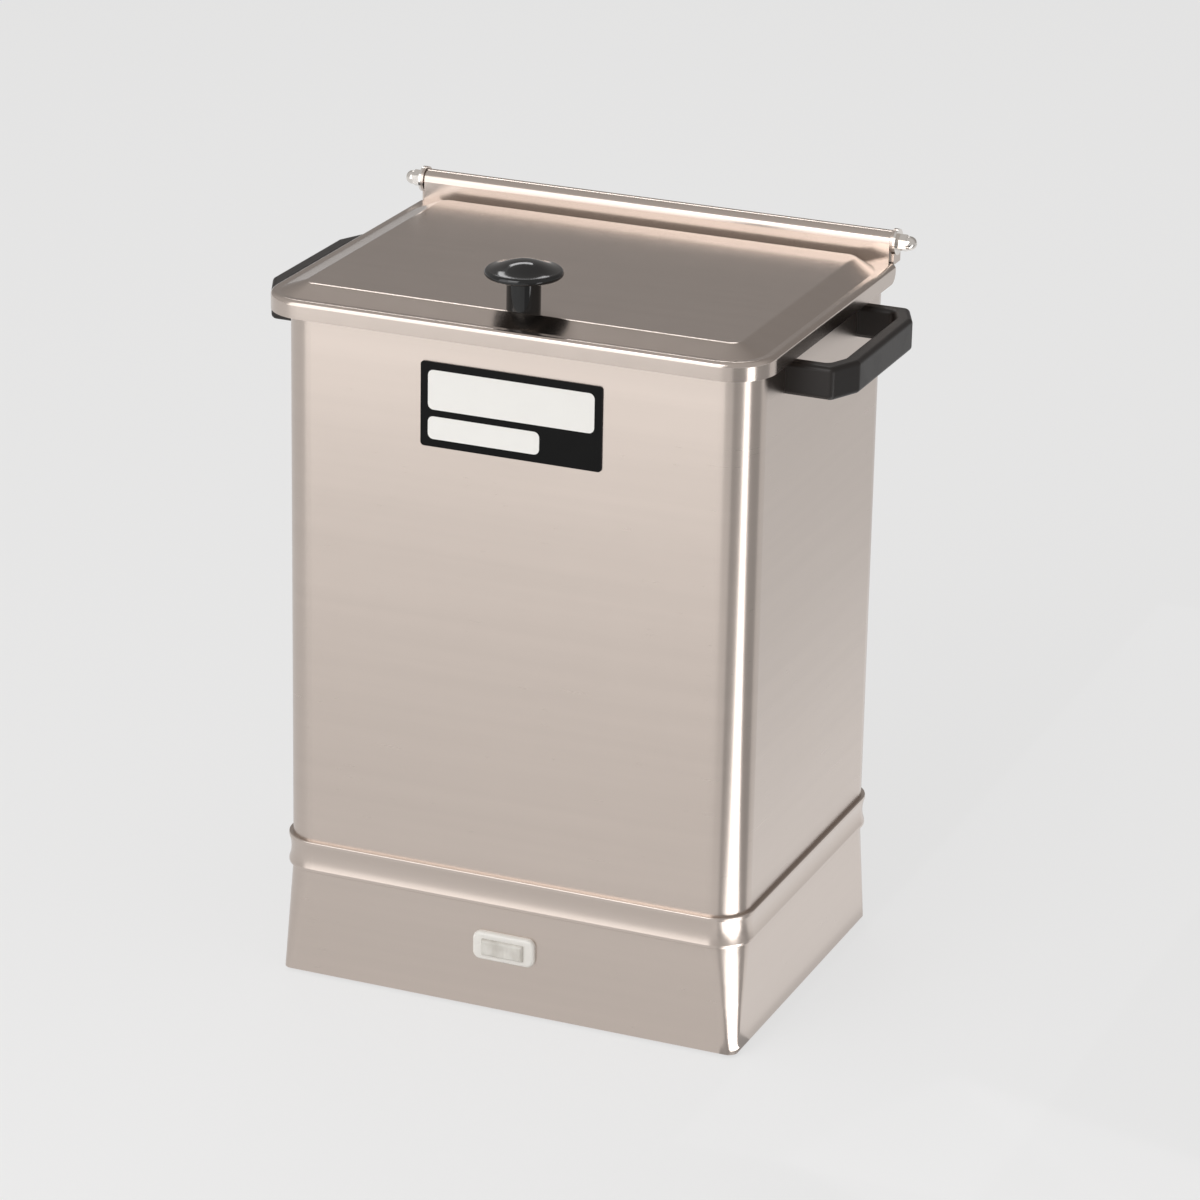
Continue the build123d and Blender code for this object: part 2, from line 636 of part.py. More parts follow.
with BuildPart() as hinge_rail:
    with BuildSketch(Plane.XY.offset(RIM_Z)) as rail_outline:
        with Locations((0, (RAIL_FRONT_Y + RAIL_BACK_Y) / 2)):
            Rectangle(2 * EAR_OUT, RAIL_BACK_Y - RAIL_FRONT_Y)
        fillet(rail_outline.vertices().group_by(Axis.Y)[-1], RAIL_R)
    extrude(amount=RAIL_T)
    # rear edge turned down between the rounded corners
    with BuildSketch(Plane.XY.offset(LID_BOTTOM)):
        with Locations((0, RAIL_BACK_Y - RAIL_T / 2)):
            Rectangle(2 * (EAR_OUT - RAIL_R), RAIL_T)
    extrude(amount=RIM_Z - LID_BOTTOM)
    fillet(hinge_rail.edges().filter_by(Axis.X).group_by(Axis.Y)[-1].group_by(Axis.Z)[-1], RAIL_T * 0.8)
    # an ear bent up at each end carries the rod
    for ear_x in (-EAR_OUT, EAR_IN):
        with BuildSketch(Plane.YZ.offset(ear_x)):
            with Locations((AXIS_Y, AXIS_Z)):
                Circle(EAR_R)
            with Locations(((RAIL_FRONT_Y + AXIS_Y + EAR_R) / 2, (RIM_Z + AXIS_Z) / 2)):
                Rectangle(AXIS_Y + EAR_R - RAIL_FRONT_Y, AXIS_Z - RIM_Z)
            with Locations((AXIS_Y, AXIS_Z)):
                Circle(ROD_END_D / 2 + ROD_CLEARANCE, mode=Mode.SUBTRACT)
        extrude(amount=RAIL_T)
hinge_rail.part.label = "hinge_rail"
export_step(hinge_rail.part, "parts/hinge_rail.step")

ACORN_X = EAR_OUT + WASHER_T
ROD_END_X = ACORN_X + ACORN_HEX_H

with BuildPart() as hinge_rod:
    with BuildSketch(Plane.YZ.offset(-EAR_IN)):
        with Locations((AXIS_Y, AXIS_Z)):
            Circle(ROD_D / 2)
    extrude(amount=2 * EAR_IN)
    with BuildSketch(Plane.YZ.offset(-ROD_END_X)):
        with Locations((AXIS_Y, AXIS_Z)):
            Circle(ROD_END_D / 2)
    extrude(amount=2 * ROD_END_X)
hinge_rod.part.label = "hinge_rod"
export_step(hinge_rod.part, "parts/hinge_rod.step")

with BuildPart() as hinge_washers:
    for side in (-1, 1):
        with Locations(Location((side * EAR_OUT, AXIS_Y, AXIS_Z), (0, side * 90, 0))):
            add(washer(WASHER_D, ROD_END_D + 2 * THREAD_CLEARANCE, WASHER_T))
hinge_washers.part.label = "hinge_washers"
export_step(hinge_washers.part, "parts/hinge_washers.step")


def acorn_nut():
    """A domed cap nut standing on the origin, its blind bore open below."""
    dome_r = ACORN_AF * 0.47
    with BuildPart() as nut:
        with BuildSketch(Plane.XY):
            RegularPolygon(ACORN_AF / 2, 6, major_radius=False)
        extrude(amount=ACORN_HEX_H)
        chamfer(nut.edges().group_by(Axis.Z)[-1], ACORN_AF * 0.05)
        with BuildSketch(Plane.XZ):
            with BuildLine():
                Line((0, 0), (dome_r, 0))
                Line((dome_r, 0), (dome_r, ACORN_H - dome_r))
                RadiusArc((dome_r, ACORN_H - dome_r), (0, ACORN_H), -dome_r)
                Line((0, ACORN_H), (0, 0))
            make_face()
        revolve(axis=Axis.Z)
        with BuildSketch(Plane.XY):
            Circle(ROD_END_D / 2 + THREAD_CLEARANCE)
        extrude(amount=ACORN_HEX_H + 1.0, mode=Mode.SUBTRACT)
    return nut.part


with BuildPart() as acorn_nuts:
    for side in (-1, 1):
        with Locations(Location((side * ACORN_X, AXIS_Y, AXIS_Z), (0, side * 90, 0))):
            add(acorn_nut())
acorn_nuts.part.label = "acorn_nuts"
export_step(acorn_nuts.part, "parts/acorn_nuts.step")

# ------------------------------------------------------------------ handles
HANDLE_PLACES = ((-1, "left_handle"), (1, "right_handle"))


def handle_outline(inset):
    """Plan of a right handle; inset it is the finger space."""
    start = HALF_W - HANDLE_T
    arm = HANDLE_SPAN / 2
    outer = HALF_W + HANDLE_OUT
    with BuildSketch() as plan:
        with BuildLine():
            Polyline((start, -arm), (outer - HANDLE_CORNER_OUT, -arm),
                     (outer, HANDLE_CORNER_ALONG - arm), (outer, arm - HANDLE_CORNER_ALONG),
                     (outer - HANDLE_CORNER_OUT, arm), (start, arm), close=True)
        make_face()
        if inset:
            offset(amount=-inset, kind=Kind.INTERSECTION)
    return plan.sketch


for side, name in HANDLE_PLACES:
    with BuildPart() as handle:
        with BuildSketch(Plane.XY.offset(HANDLE_Z)):
            add(handle_outline(0))
            add(handle_outline(HANDLE_T), mode=Mode.SUBTRACT)
            with Locations((HALF_W - HANDLE_T, 0)):
                Rectangle(2 * HANDLE_T, HANDLE_SPAN, mode=Mode.SUBTRACT)
        extrude(amount=HANDLE_H)
        fillet(handle.edges().filter_by(Axis.Z).group_by(Axis.X)[1:], HANDLE_EDGE_R * 1.4)
        rims = handle.faces().filter_by(Axis.Z).edges()
        fillet([edge for edge in rims if edge.center().X > HALF_W + 0.01], HANDLE_EDGE_R)
        for arm_y in (-HANDLE_ARM_Y, HANDLE_ARM_Y):
            with BuildSketch(Plane.YZ.offset(HALF_W)):
                with Locations((arm_y, HANDLE_MID_Z)):
                    Circle(INSERT_D / 2)
            extrude(amount=INSERT_L, mode=Mode.SUBTRACT)
        if side < 0:
            mirror(about=Plane.YZ, mode=Mode.REPLACE)
    handle.part.label = name
    export_step(handle.part, f"parts/{name}.step")

HANDLE_SCREW_SPOTS = [
    Location((side * HALF_W, arm_y, HANDLE_MID_Z), (0, side * 90, 0))
    for side in (-1, 1)
    for arm_y in (-HANDLE_ARM_Y, HANDLE_ARM_Y)
]

with BuildPart() as handle_inserts:
    with Locations(*HANDLE_SCREW_SPOTS):
        add(washer(INSERT_D, M5_D + 2 * THREAD_CLEARANCE, INSERT_L))
handle_inserts.part.label = "handle_inserts"
export_step(handle_inserts.part, "parts/handle_inserts.step")

with BuildPart() as handle_washers:
    for spot in HANDLE_SCREW_SPOTS:
        with Locations(spot * Pos(0, 0, -SHEET - WASHER_T)):
            add(washer(WASHER_D, M5_D + 2 * HOLE_CLEARANCE, WASHER_T))
handle_washers.part.label = "handle_washers"
export_step(handle_washers.part, "parts/handle_washers.step")

with BuildPart() as handle_screws:
    for spot in HANDLE_SCREW_SPOTS:
        with Locations(spot * Pos(0, 0, -SHEET - WASHER_T) * Rot(180, 0, 0)):
            add(pan_screw(M5_D, M5_HEAD_D, M5_HEAD_H, WASHER_T + SHEET + INSERT_L - 2))
handle_screws.part.label = "handle_screws"
export_step(handle_screws.part, "parts/handle_screws.step")

# ------------------------------------------------------------------ label and pilot lamp
with BuildPart() as label_plate:
    with BuildSketch(Plane.XZ.offset(HALF_D)):
        with Locations((0, LABEL_Z)):
            RectangleRounded(LABEL_W, LABEL_H, 2.0)
    extrude(amount=LABEL_T)
label_plate.part.label = "label_plate"
export_step(label_plate.part, "parts/label_plate.step")

FRONT = HALF_D  # distance of the skirt's front face, along -Y
LENS_W = LAMP_BODY_W - 2 * LENS_IN_W
LENS_H = LAMP_BODY_H - 2 * LENS_IN_H
CAVITY_W = LENS_W - 2 * LENS_LEDGE
CAVITY_H = LENS_H - 2 * LENS_LEDGE
LENS_BACK = FRONT + LAMP_FLANGE_T - LENS_SEAT
LAMP_BACK = FRONT - LAMP_BODY_DEEP


def front_block(width, height, near, far):
    """A block behind the front face, between two distances from the middle along -Y."""
    with BuildPart() as block:
        with BuildSketch(Plane.XZ.offset(near)):
            with Locations((0, LAMP_Z)):
                Rectangle(width, height)
        extrude(amount=far - near)
    return block.part


with BuildPart() as lamp_bezel:
    with BuildSketch(Plane.XZ.offset(FRONT)):
        with Locations((0, LAMP_Z)):
            RectangleRounded(LAMP_W, LAMP_H, LAMP_R)
    extrude(amount=LAMP_FLANGE_T)
    fillet(lamp_bezel.edges().group_by(Axis.Y)[0], LAMP_EDGE_R)
    add(front_block(LAMP_BODY_W, LAMP_BODY_H, LAMP_BACK, FRONT))
    add(front_block(CAVITY_W, CAVITY_H, LAMP_BACK + LAMP_WALL, FRONT), mode=Mode.SUBTRACT)
    add(front_block(CAVITY_W, CAVITY_H, FRONT, FRONT + LAMP_FLANGE_T), mode=Mode.SUBTRACT)
    add(front_block(LENS_W, LENS_H, LENS_BACK, FRONT + LAMP_FLANGE_T), mode=Mode.SUBTRACT)
lamp_bezel.part.label = "lamp_bezel"
export_step(lamp_bezel.part, "parts/lamp_bezel.step")

with BuildPart() as lamp_lens:
    add(front_block(LENS_W - 2 * THREAD_CLEARANCE, LENS_H - 2 * THREAD_CLEARANCE,
                    LENS_BACK, FRONT + LAMP_FLANGE_T + LENS_OUT))
    fillet(lamp_lens.edges().group_by(Axis.Y)[0], 1.4)
lamp_lens.part.label = "lamp_lens"
export_step(lamp_lens.part, "parts/lamp_lens.step")

with BuildPart() as neon_bulb:
    with BuildSketch(Plane.XZ.offset(LAMP_BACK + LAMP_WALL)):
        with Locations((0, LAMP_Z)):
            Circle(BULB_D / 2)
    extrude(amount=BULB_L)
    fillet(neon_bulb.edges().group_by(Axis.Y)[0], BULB_D * 0.4)
neon_bulb.part.label = "neon_bulb"
export_step(neon_bulb.part, "parts/neon_bulb.step")

with BuildPart() as lamp_tabs:
    with BuildSketch(Plane.XZ.offset(LAMP_BACK - TAB_L)):
        with Locations((-LAMP_TAB_X, LAMP_Z), (LAMP_TAB_X, LAMP_Z)):
            Rectangle(TAB_T, TAB_W)
    extrude(amount=TAB_L)
lamp_tabs.part.label = "lamp_tabs"
export_step(lamp_tabs.part, "parts/lamp_tabs.step")

with BuildPart() as lamp_clip:
    with BuildSketch(Plane.XZ.offset(FRONT - 2.5 * SHEET)):
        with Locations((0, LAMP_Z)):
            Rectangle(LAMP_W, LAMP_H + 2)
            Rectangle(LAMP_BODY_W + 2 * THREAD_CLEARANCE, LAMP_BODY_H + 2 * THREAD_CLEARANCE,
                      mode=Mode.SUBTRACT)
    extrude(amount=1.5 * SHEET)
lamp_clip.part.label = "lamp_clip"
export_step(lamp_clip.part, "parts/lamp_clip.step")

# ------------------------------------------------------------------ rack that keeps the packs apart
RACK_Z = FLOOR_TOP + RACK_BASE_UP
RACK_TOP = FLOOR_TOP + RACK_TOP_UP
BAY = RACK_D / RACK_BAYS
DIVIDERS = [BAY * (k - RACK_BAYS / 2) for k in range(1, RACK_BAYS)]
CROSS_XS = [RACK_DIVIDER_W * (k / (RACK_CROSS_WIRES - 1) - 0.5) for k in range(RACK_CROSS_WIRES)]
WELD_STEP = WIRE_D * 0.8  # crossing wires sink a little into each other where they are welded

with BuildPart() as pack_rack:
    # base loop
    with BuildLine() as base_path:
        FilletPolyline(*[(x, y, RACK_Z) for x, y in rectangle_corners(RACK_W, RACK_D)],
                       radius=RACK_CORNER_R, close=True)
    with BuildSketch(Plane(origin=base_path.wire() @ 0, z_dir=base_path.wire() % 0)):
        Circle(WIRE_D / 2)
    sweep(path=base_path.wire())
    # cross wires welded under the loop, and four legs down to the tank floor
    with BuildSketch(Plane.XZ.offset(-RACK_D / 2)):
        with Locations(*[(x, RACK_Z - WELD_STEP) for x in CROSS_XS]):
            Circle(WIRE_D / 2)
    extrude(amount=RACK_D)
    with BuildSketch(Plane.XY.offset(FLOOR_TOP)):
        with Locations(*[(x, y) for x in (CROSS_XS[0], CROSS_XS[-1]) for y in (-RACK_D / 3, RACK_D / 3)]):
            Circle(RACK_LEG_D / 2)
    extrude(amount=RACK_BASE_UP - WELD_STEP)
    # one hoop with upright wires between each two packs, standing on the cross wires
    for hoop_y in DIVIDERS:
        add(tube_along([(CROSS_XS[0], hoop_y, RACK_Z - WELD_STEP), (CROSS_XS[0], hoop_y, RACK_TOP),
                        (CROSS_XS[-1], hoop_y, RACK_TOP), (CROSS_XS[-1], hoop_y, RACK_Z - WELD_STEP)],
                       RACK_CORNER_R, HOOP_D))
        with BuildSketch(Plane.XY.offset(RACK_Z - WELD_STEP)):
            with Locations(*[(x, hoop_y) for x in CROSS_XS[1:-1]]):
                Circle(UPRIGHT_D / 2)
        extrude(amount=RACK_TOP - RACK_Z + WELD_STEP)
pack_rack.part.label = "pack_rack"
export_step(pack_rack.part, "parts/pack_rack.step")

# ------------------------------------------------------------------ heating element and its glands
ELEMENT_Z = FLOOR_TOP + ELEMENT_UP
ELEMENT_BACK = ELEMENT_DEPTH / 2
SHEATH_END = FLOOR_Z - ELEMENT_COLD_L
PIN_END = SHEATH_END - PIN_L

with BuildPart() as heating_element:
    add(tube_along([(-ELEMENT_LEG_X, ELEMENT_BACK, SHEATH_END), (-ELEMENT_LEG_X, ELEMENT_BACK, ELEMENT_Z),
                    (-ELEMENT_W / 2, ELEMENT_BACK, ELEMENT_Z), (-ELEMENT_W / 2, -ELEMENT_BACK, ELEMENT_Z),
                    (ELEMENT_W / 2, -ELEMENT_BACK, ELEMENT_Z), (ELEMENT_W / 2, ELEMENT_BACK, ELEMENT_Z),
                    (ELEMENT_LEG_X, ELEMENT_BACK, ELEMENT_Z), (ELEMENT_LEG_X, ELEMENT_BACK, SHEATH_END)],
                   [ELEMENT_LEG_BEND_R] + [ELEMENT_BEND_R] * 4 + [ELEMENT_LEG_BEND_R], ELEMENT_D))
    with BuildSketch(Plane.XY.offset(PIN_END)):
        with Locations(*FLOOR_HOLES):
            Circle(PIN_D / 2)
    extrude(amount=PIN_L)
heating_element.part.label = "heating_element"
export_step(heating_element.part, "parts/heating_element.step")

with BuildPart() as element_gaskets:
    with Locations(*[(x, y, FLOOR_TOP) for x, y in FLOOR_HOLES]):
        add(washer(GLAND_HEAD_D, GLAND_THREAD_D + 2 * THREAD_CLEARANCE, GASKET_T))
element_gaskets.part.label = "element_gaskets"
export_step(element_gaskets.part, "parts/element_gaskets.step")

with BuildPart() as element_glands:
    for spot in FLOOR_HOLES:
        with BuildSketch(Plane.XY.offset(FLOOR_TOP + GASKET_T)):
            with Locations(spot):
                RegularPolygon(GLAND_HEAD_D / 2, 6)
        extrude(amount=GLAND_HEAD_H)
        with BuildSketch(Plane.XY.offset(FLOOR_Z - NUT_T - 2)):
            with Locations(spot):
                Circle(GLAND_THREAD_D / 2)
        extrude(amount=NUT_T + 2 + SHEET + GASKET_T)
        with BuildSketch(Plane.XY.offset(FLOOR_Z - NUT_T - 2)):
            with Locations(spot):
                Circle(ELEMENT_D / 2 + THREAD_CLEARANCE)
        extrude(amount=NUT_T + 2 + SHEET + GASKET_T + GLAND_HEAD_H, mode=Mode.SUBTRACT)
element_glands.part.label = "element_glands"
export_step(element_glands.part, "parts/element_glands.step")

with BuildPart() as element_nuts:
    with Locations(*[(x, y, FLOOR_Z - NUT_T) for x, y in FLOOR_HOLES]):
        add(hex_nut(GLAND_HEAD_D, GLAND_THREAD_D + 2 * THREAD_CLEARANCE, NUT_T))
element_nuts.part.label = "element_nuts"
export_step(element_nuts.part, "parts/element_nuts.step")

# ------------------------------------------------------------------ thermostat, bracket, stem, sensor
THERMOSTAT_TOP = THERMOSTAT_Z + THERMOSTAT_H
STEM_END = COVER_Z + 0.6
STEM_L = THERMOSTAT_Z + THERMOSTAT_H / 2 - STEM_END

with BuildPart() as thermostat:
    with BuildSketch(Plane.XY.offset(THERMOSTAT_Z)):
        with Locations((THERMOSTAT_X, THERMOSTAT_Y)):
            RectangleRounded(THERMOSTAT_W, THERMOSTAT_DEPTH, 2.0)
    extrude(amount=THERMOSTAT_H)
    with BuildSketch(Plane.XY.offset(THERMOSTAT_Z)):
        with Locations((THERMOSTAT_X, THERMOSTAT_Y)):
            Circle(BUSHING_D / 2)
    extrude(amount=-BUSHING_L)
    with BuildSketch(Plane.XY.offset(THERMOSTAT_Z - BUSHING_L)):
        with Locations((THERMOSTAT_X, THERMOSTAT_Y)):
            Circle(STEM_D / 2 + STEM_CLEARANCE)
    extrude(amount=BUSHING_L + THERMOSTAT_H / 2 + STEM_CLEARANCE, mode=Mode.SUBTRACT)
thermostat.part.label = "thermostat"
export_step(thermostat.part, "parts/thermostat.step")

with BuildPart() as thermostat_tabs:
    with BuildSketch(Plane.XZ.offset(-THERMOSTAT_Y - THERMOSTAT_DEPTH / 2 - TAB_L)):
        with Locations((THERMOSTAT_X, THERMOSTAT_Z + THERMOSTAT_H / 2)):
            with Locations((-THERMOSTAT_TAB_X, 0), (THERMOSTAT_TAB_X, 0)):
                Rectangle(TAB_T, TAB_W)
    extrude(amount=TAB_L)
thermostat_tabs.part.label = "thermostat_tabs"
export_step(thermostat_tabs.part, "parts/thermostat_tabs.step")

BRACKET_W = THERMOSTAT_W + 2 * BRACKET_T
with BuildPart() as thermostat_bracket:
    with BuildSketch(Plane.XZ.offset(-THERMOSTAT_Y - THERMOSTAT_DEPTH / 2)):
        with Locations((THERMOSTAT_X, COVER_TOP + BRACKET_H / 2)):
            Rectangle(BRACKET_W, BRACKET_H)
            with Locations((0, -BRACKET_T)):
                Rectangle(BRACKET_W - 2 * BRACKET_T, BRACKET_H, mode=Mode.SUBTRACT)
        with Locations((THERMOSTAT_X, COVER_TOP + BRACKET_T / 2)):
            with Locations((-BRACKET_FOOT_X, 0), (BRACKET_FOOT_X, 0)):
                Rectangle(BRACKET_FOOT, BRACKET_T)
    extrude(amount=THERMOSTAT_DEPTH)
    with BuildSketch(Plane.XY.offset(COVER_TOP)):
        with Locations(*RIVETS):
            Circle(RIVET_D / 2 + THREAD_CLEARANCE)
    extrude(amount=BRACKET_T, mode=Mode.SUBTRACT)
    with BuildSketch(Plane.XY.offset(THERMOSTAT_Z - BRACKET_T)):
        with Locations((THERMOSTAT_X, THERMOSTAT_Y)):
            Circle(BUSHING_D / 2 + HOLE_CLEARANCE)
    extrude(amount=BRACKET_T, mode=Mode.SUBTRACT)
thermostat_bracket.part.label = "thermostat_bracket"
export_step(thermostat_bracket.part, "parts/thermostat_bracket.step")

with BuildPart() as thermostat_nut:
    with Locations((THERMOSTAT_X, THERMOSTAT_Y, THERMOSTAT_Z - BRACKET_T - SMALL_NUT_T)):
        add(hex_nut(SMALL_NUT_AF, BUSHING_D + 2 * THREAD_CLEARANCE, SMALL_NUT_T))
thermostat_nut.part.label = "thermostat_nut"
export_step(thermostat_nut.part, "parts/thermostat_nut.step")

with BuildPart() as bracket_rivets:
    for x, y in RIVETS:
        with Locations((x, y, COVER_Z)):
            Cylinder(RIVET_D / 2, SHEET + BRACKET_T, align=(Align.CENTER, Align.CENTER, Align.MIN))
        with BuildSketch(Plane.XY.offset(COVER_TOP + BRACKET_T)):
            with Locations((x, y)):
                Circle(RIVET_HEAD_D / 2)
        extrude(amount=RIVET_HEAD_H, taper=25)
        with BuildSketch(Plane.XY.offset(COVER_Z)):
            with Locations((x, y)):
                Circle(RIVET_HEAD_D / 2)
        extrude(amount=-RIVET_HEAD_H, taper=25)
bracket_rivets.part.label = "bracket_rivets"
export_step(bracket_rivets.part, "parts/bracket_rivets.step")

with BuildPart() as adjusting_stem:
    with BuildSketch(Plane.XY.offset(STEM_END)):
        with Locations((THERMOSTAT_X, THERMOSTAT_Y)):
            Circle(STEM_D / 2)
    extrude(amount=STEM_L)
    with BuildSketch(Plane.XY.offset(STEM_END)):
        with Locations((THERMOSTAT_X, THERMOSTAT_Y)):
            Circle(ACCESS_HOLE_D / 2 - 1.2)
    extrude(amount=COVER_TOP - STEM_END + 3.0)
    chamfer(adjusting_stem.edges().group_by(Axis.Z)[0], 0.5)
    with BuildSketch(Plane.XY.offset(STEM_END)):
        with Locations((THERMOSTAT_X, THERMOSTAT_Y)):
            Rectangle(ACCESS_HOLE_D, STEM_SLOT)
    extrude(amount=2.0, mode=Mode.SUBTRACT)
adjusting_stem.part.label = "adjusting_stem"
export_step(adjusting_stem.part, "parts/adjusting_stem.step")

SENSOR_Z = FLOOR_TOP + BULB_UP
SENSOR_X = THERMOSTAT_X + SENSOR_IN
with BuildPart() as sensor_bulb:
    add(tube_along([(THERMOSTAT_X, BULB_Y, THERMOSTAT_TOP), (THERMOSTAT_X, BULB_Y, SENSOR_Z),
                    (SENSOR_X, BULB_Y, SENSOR_Z)], CAPILLARY_D * 3, CAPILLARY_D))
    with BuildSketch(Plane.YZ.offset(SENSOR_X)):
        with Locations((BULB_Y, SENSOR_Z)):
            Circle(SENSOR_D / 2)
    extrude(amount=SENSOR_L)
    fillet(sensor_bulb.edges().group_by(Axis.X)[-1], SENSOR_D * 0.4)
sensor_bulb.part.label = "sensor_bulb"
export_step(sensor_bulb.part, "parts/sensor_bulb.step")

with BuildPart() as sensor_gland:
    with BuildSketch(Plane.XY.offset(FLOOR_TOP)):
        with Locations((THERMOSTAT_X, BULB_Y)):
            RegularPolygon(BUSHING_D * 0.75, 6)
    extrude(amount=NUT_T)
    with BuildSketch(Plane.XY.offset(FLOOR_Z - NUT_T)):
        with Locations((THERMOSTAT_X, BULB_Y)):
            Circle(BUSHING_D / 2)
    extrude(amount=NUT_T + SHEET)
    with BuildSketch(Plane.XY.offset(FLOOR_Z - NUT_T)):
        with Locations((THERMOSTAT_X, BULB_Y)):
            Circle(CAPILLARY_D / 2 + THREAD_CLEARANCE)
    extrude(amount=2 * NUT_T + SHEET, mode=Mode.SUBTRACT)
sensor_gland.part.label = "sensor_gland"
export_step(sensor_gland.part, "parts/sensor_gland.step")

with BuildPart() as sensor_nut:
    with Locations((THERMOSTAT_X, BULB_Y, FLOOR_Z - SMALL_NUT_T)):
        add(hex_nut(SMALL_NUT_AF, BUSHING_D + 2 * THREAD_CLEARANCE, SMALL_NUT_T))
sensor_nut.part.label = "sensor_nut"
export_step(sensor_nut.part, "parts/sensor_nut.step")

with BuildPart() as sensor_clip:
    with BuildSketch(Plane.YZ.offset(SENSOR_X + SENSOR_L / 2 - CLIP_W / 2)):
        with Locations((BULB_Y, SENSOR_Z)):
            Circle(SENSOR_D / 2 + THREAD_CLEARANCE + CLIP_T)
        with Locations((BULB_Y, (FLOOR_TOP + SENSOR_Z) / 2)):
            Rectangle(2 * CLIP_T, SENSOR_Z - FLOOR_TOP)
        with Locations((BULB_Y, FLOOR_TOP + CLIP_T / 2)):
            Rectangle(SENSOR_D * 2, CLIP_T)
        with Locations((BULB_Y, SENSOR_Z)):
            Circle(SENSOR_D / 2 + THREAD_CLEARANCE, mode=Mode.SUBTRACT)
    extrude(amount=CLIP_W)
sensor_clip.part.label = "sensor_clip"
export_step(sensor_clip.part, "parts/sensor_clip.step")

# ------------------------------------------------------------------ high-limit cut-out
STRAP_INNER = CUTOUT_D + 2.0
STRAP_Z = FLOOR_Z - CUTOUT_H - STRAP_T

with BuildPart() as limit_cutout:
    with BuildSketch(Plane.XY.offset(FLOOR_Z - CUTOUT_H)):
        with Locations((CUTOUT_X, CUTOUT_Y)):
            Circle(CUTOUT_D / 2)
    extrude(amount=CUTOUT_H)
    with BuildSketch(Plane.XY.offset(FLOOR_Z - CUTOUT_H - CUTOUT_TAB_L)):
        with Locations((CUTOUT_X - CUTOUT_TAB_X, CUTOUT_Y), (CUTOUT_X + CUTOUT_TAB_X, CUTOUT_Y)):
            Rectangle(TAB_T, TAB_W)
    extrude(amount=CUTOUT_TAB_L)
limit_cutout.part.label = "limit_cutout"
export_step(limit_cutout.part, "parts/limit_cutout.step")

with BuildPart() as cutout_strap:
    with BuildSketch(Plane.XZ.offset(-CUTOUT_Y - STRAP_W / 2)):
        with Locations((CUTOUT_X, STRAP_Z + STRAP_T / 2)):
            Rectangle(STRAP_INNER + 2 * STRAP_T, STRAP_T)
        for side in (-1, 1):
            with Locations((CUTOUT_X + side * (STRAP_INNER + STRAP_T) / 2, (STRAP_Z + FLOOR_Z) / 2)):
                Rectangle(STRAP_T, FLOOR_Z - STRAP_Z)
            with Locations((CUTOUT_X + side * (STRAP_INNER + STRAP_FOOT) / 2, FLOOR_Z - STRAP_T / 2)):
                Rectangle(STRAP_FOOT, STRAP_T)
    extrude(amount=STRAP_W)
    with BuildSketch(Plane.XY.offset(STRAP_Z)):
        with Locations((CUTOUT_X, CUTOUT_Y)):
            Rectangle(2 * CUTOUT_TAB_X + 3, TAB_W + 1.6)
    extrude(amount=STRAP_T, mode=Mode.SUBTRACT)
cutout_strap.part.label = "cutout_strap"
export_step(cutout_strap.part, "parts/cutout_strap.step")

# ------------------------------------------------------------------ terminal block and earth stud
POLE_XS = [BLOCK_X + POLE_PITCH * (k - (POLES - 1) / 2) for k in range(POLES)]
POLE_Z = COVER_TOP + BLOCK_H / 2

with BuildPart() as terminal_block:
    with BuildSketch(Plane.XY.offset(COVER_TOP)):
        with Locations((BLOCK_X, BLOCK_Y)):
            Rectangle(BLOCK_W, BLOCK_D)
    extrude(amount=BLOCK_H)
    fillet(terminal_block.edges().filter_by(Axis.Z), 1.0)
    # grooves between the poles, wire holes front and back
    with BuildSketch(Plane.XY.offset(COVER_TOP + BLOCK_H)):
        with Locations(*[(x + POLE_PITCH / 2, BLOCK_Y) for x in POLE_XS[:-1]]):
            Rectangle(1.4, BLOCK_D)
    extrude(amount=-BLOCK_H * 0.3, mode=Mode.SUBTRACT)
    with BuildSketch(Plane.XZ.offset(-BLOCK_Y + BLOCK_D / 2)):
        with Locations(*[(x, POLE_Z) for x in POLE_XS]):
            Circle(POLE_BORE_D / 2)
    extrude(amount=-BLOCK_D * 0.4, mode=Mode.SUBTRACT)
    with BuildSketch(Plane.XZ.offset(-BLOCK_Y - BLOCK_D / 2)):
        with Locations(*[(x, POLE_Z) for x in POLE_XS]):
            Circle(POLE_BORE_D / 2)
    extrude(amount=BLOCK_D * 0.4, mode=Mode.SUBTRACT)
terminal_block.part.label = "terminal_block"
export_step(terminal_block.part, "parts/terminal_block.step")

with BuildPart() as terminal_screws:
    for x in POLE_XS:
        for side in (-1, 1):
            with Locations((x, BLOCK_Y + side * BLOCK_D / 4, COVER_TOP + BLOCK_H)):
                Cylinder(POLE_SCREW_D / 2, POLE_SCREW_H, align=(Align.CENTER, Align.CENTER, Align.MIN))
                with Locations((0, 0, POLE_SCREW_H)):
                    Box(POLE_SCREW_D, 0.8, 1.4, mode=Mode.SUBTRACT)
terminal_screws.part.label = "terminal_screws"
export_step(terminal_screws.part, "parts/terminal_screws.step")

with BuildPart() as earth_stud:
    with BuildSketch(Plane.XY.offset(COVER_TOP)):
        with Locations((EARTH_X, EARTH_Y)):
            Circle(STUD_D)
    extrude(amount=1.0)
    with BuildSketch(Plane.XY.offset(COVER_TOP + 1.0)):
        with Locations((EARTH_X, EARTH_Y)):
            Circle(STUD_D / 2)
    extrude(amount=STUD_L)
earth_stud.part.label = "earth_stud"
export_step(earth_stud.part, "parts/earth_stud.step")

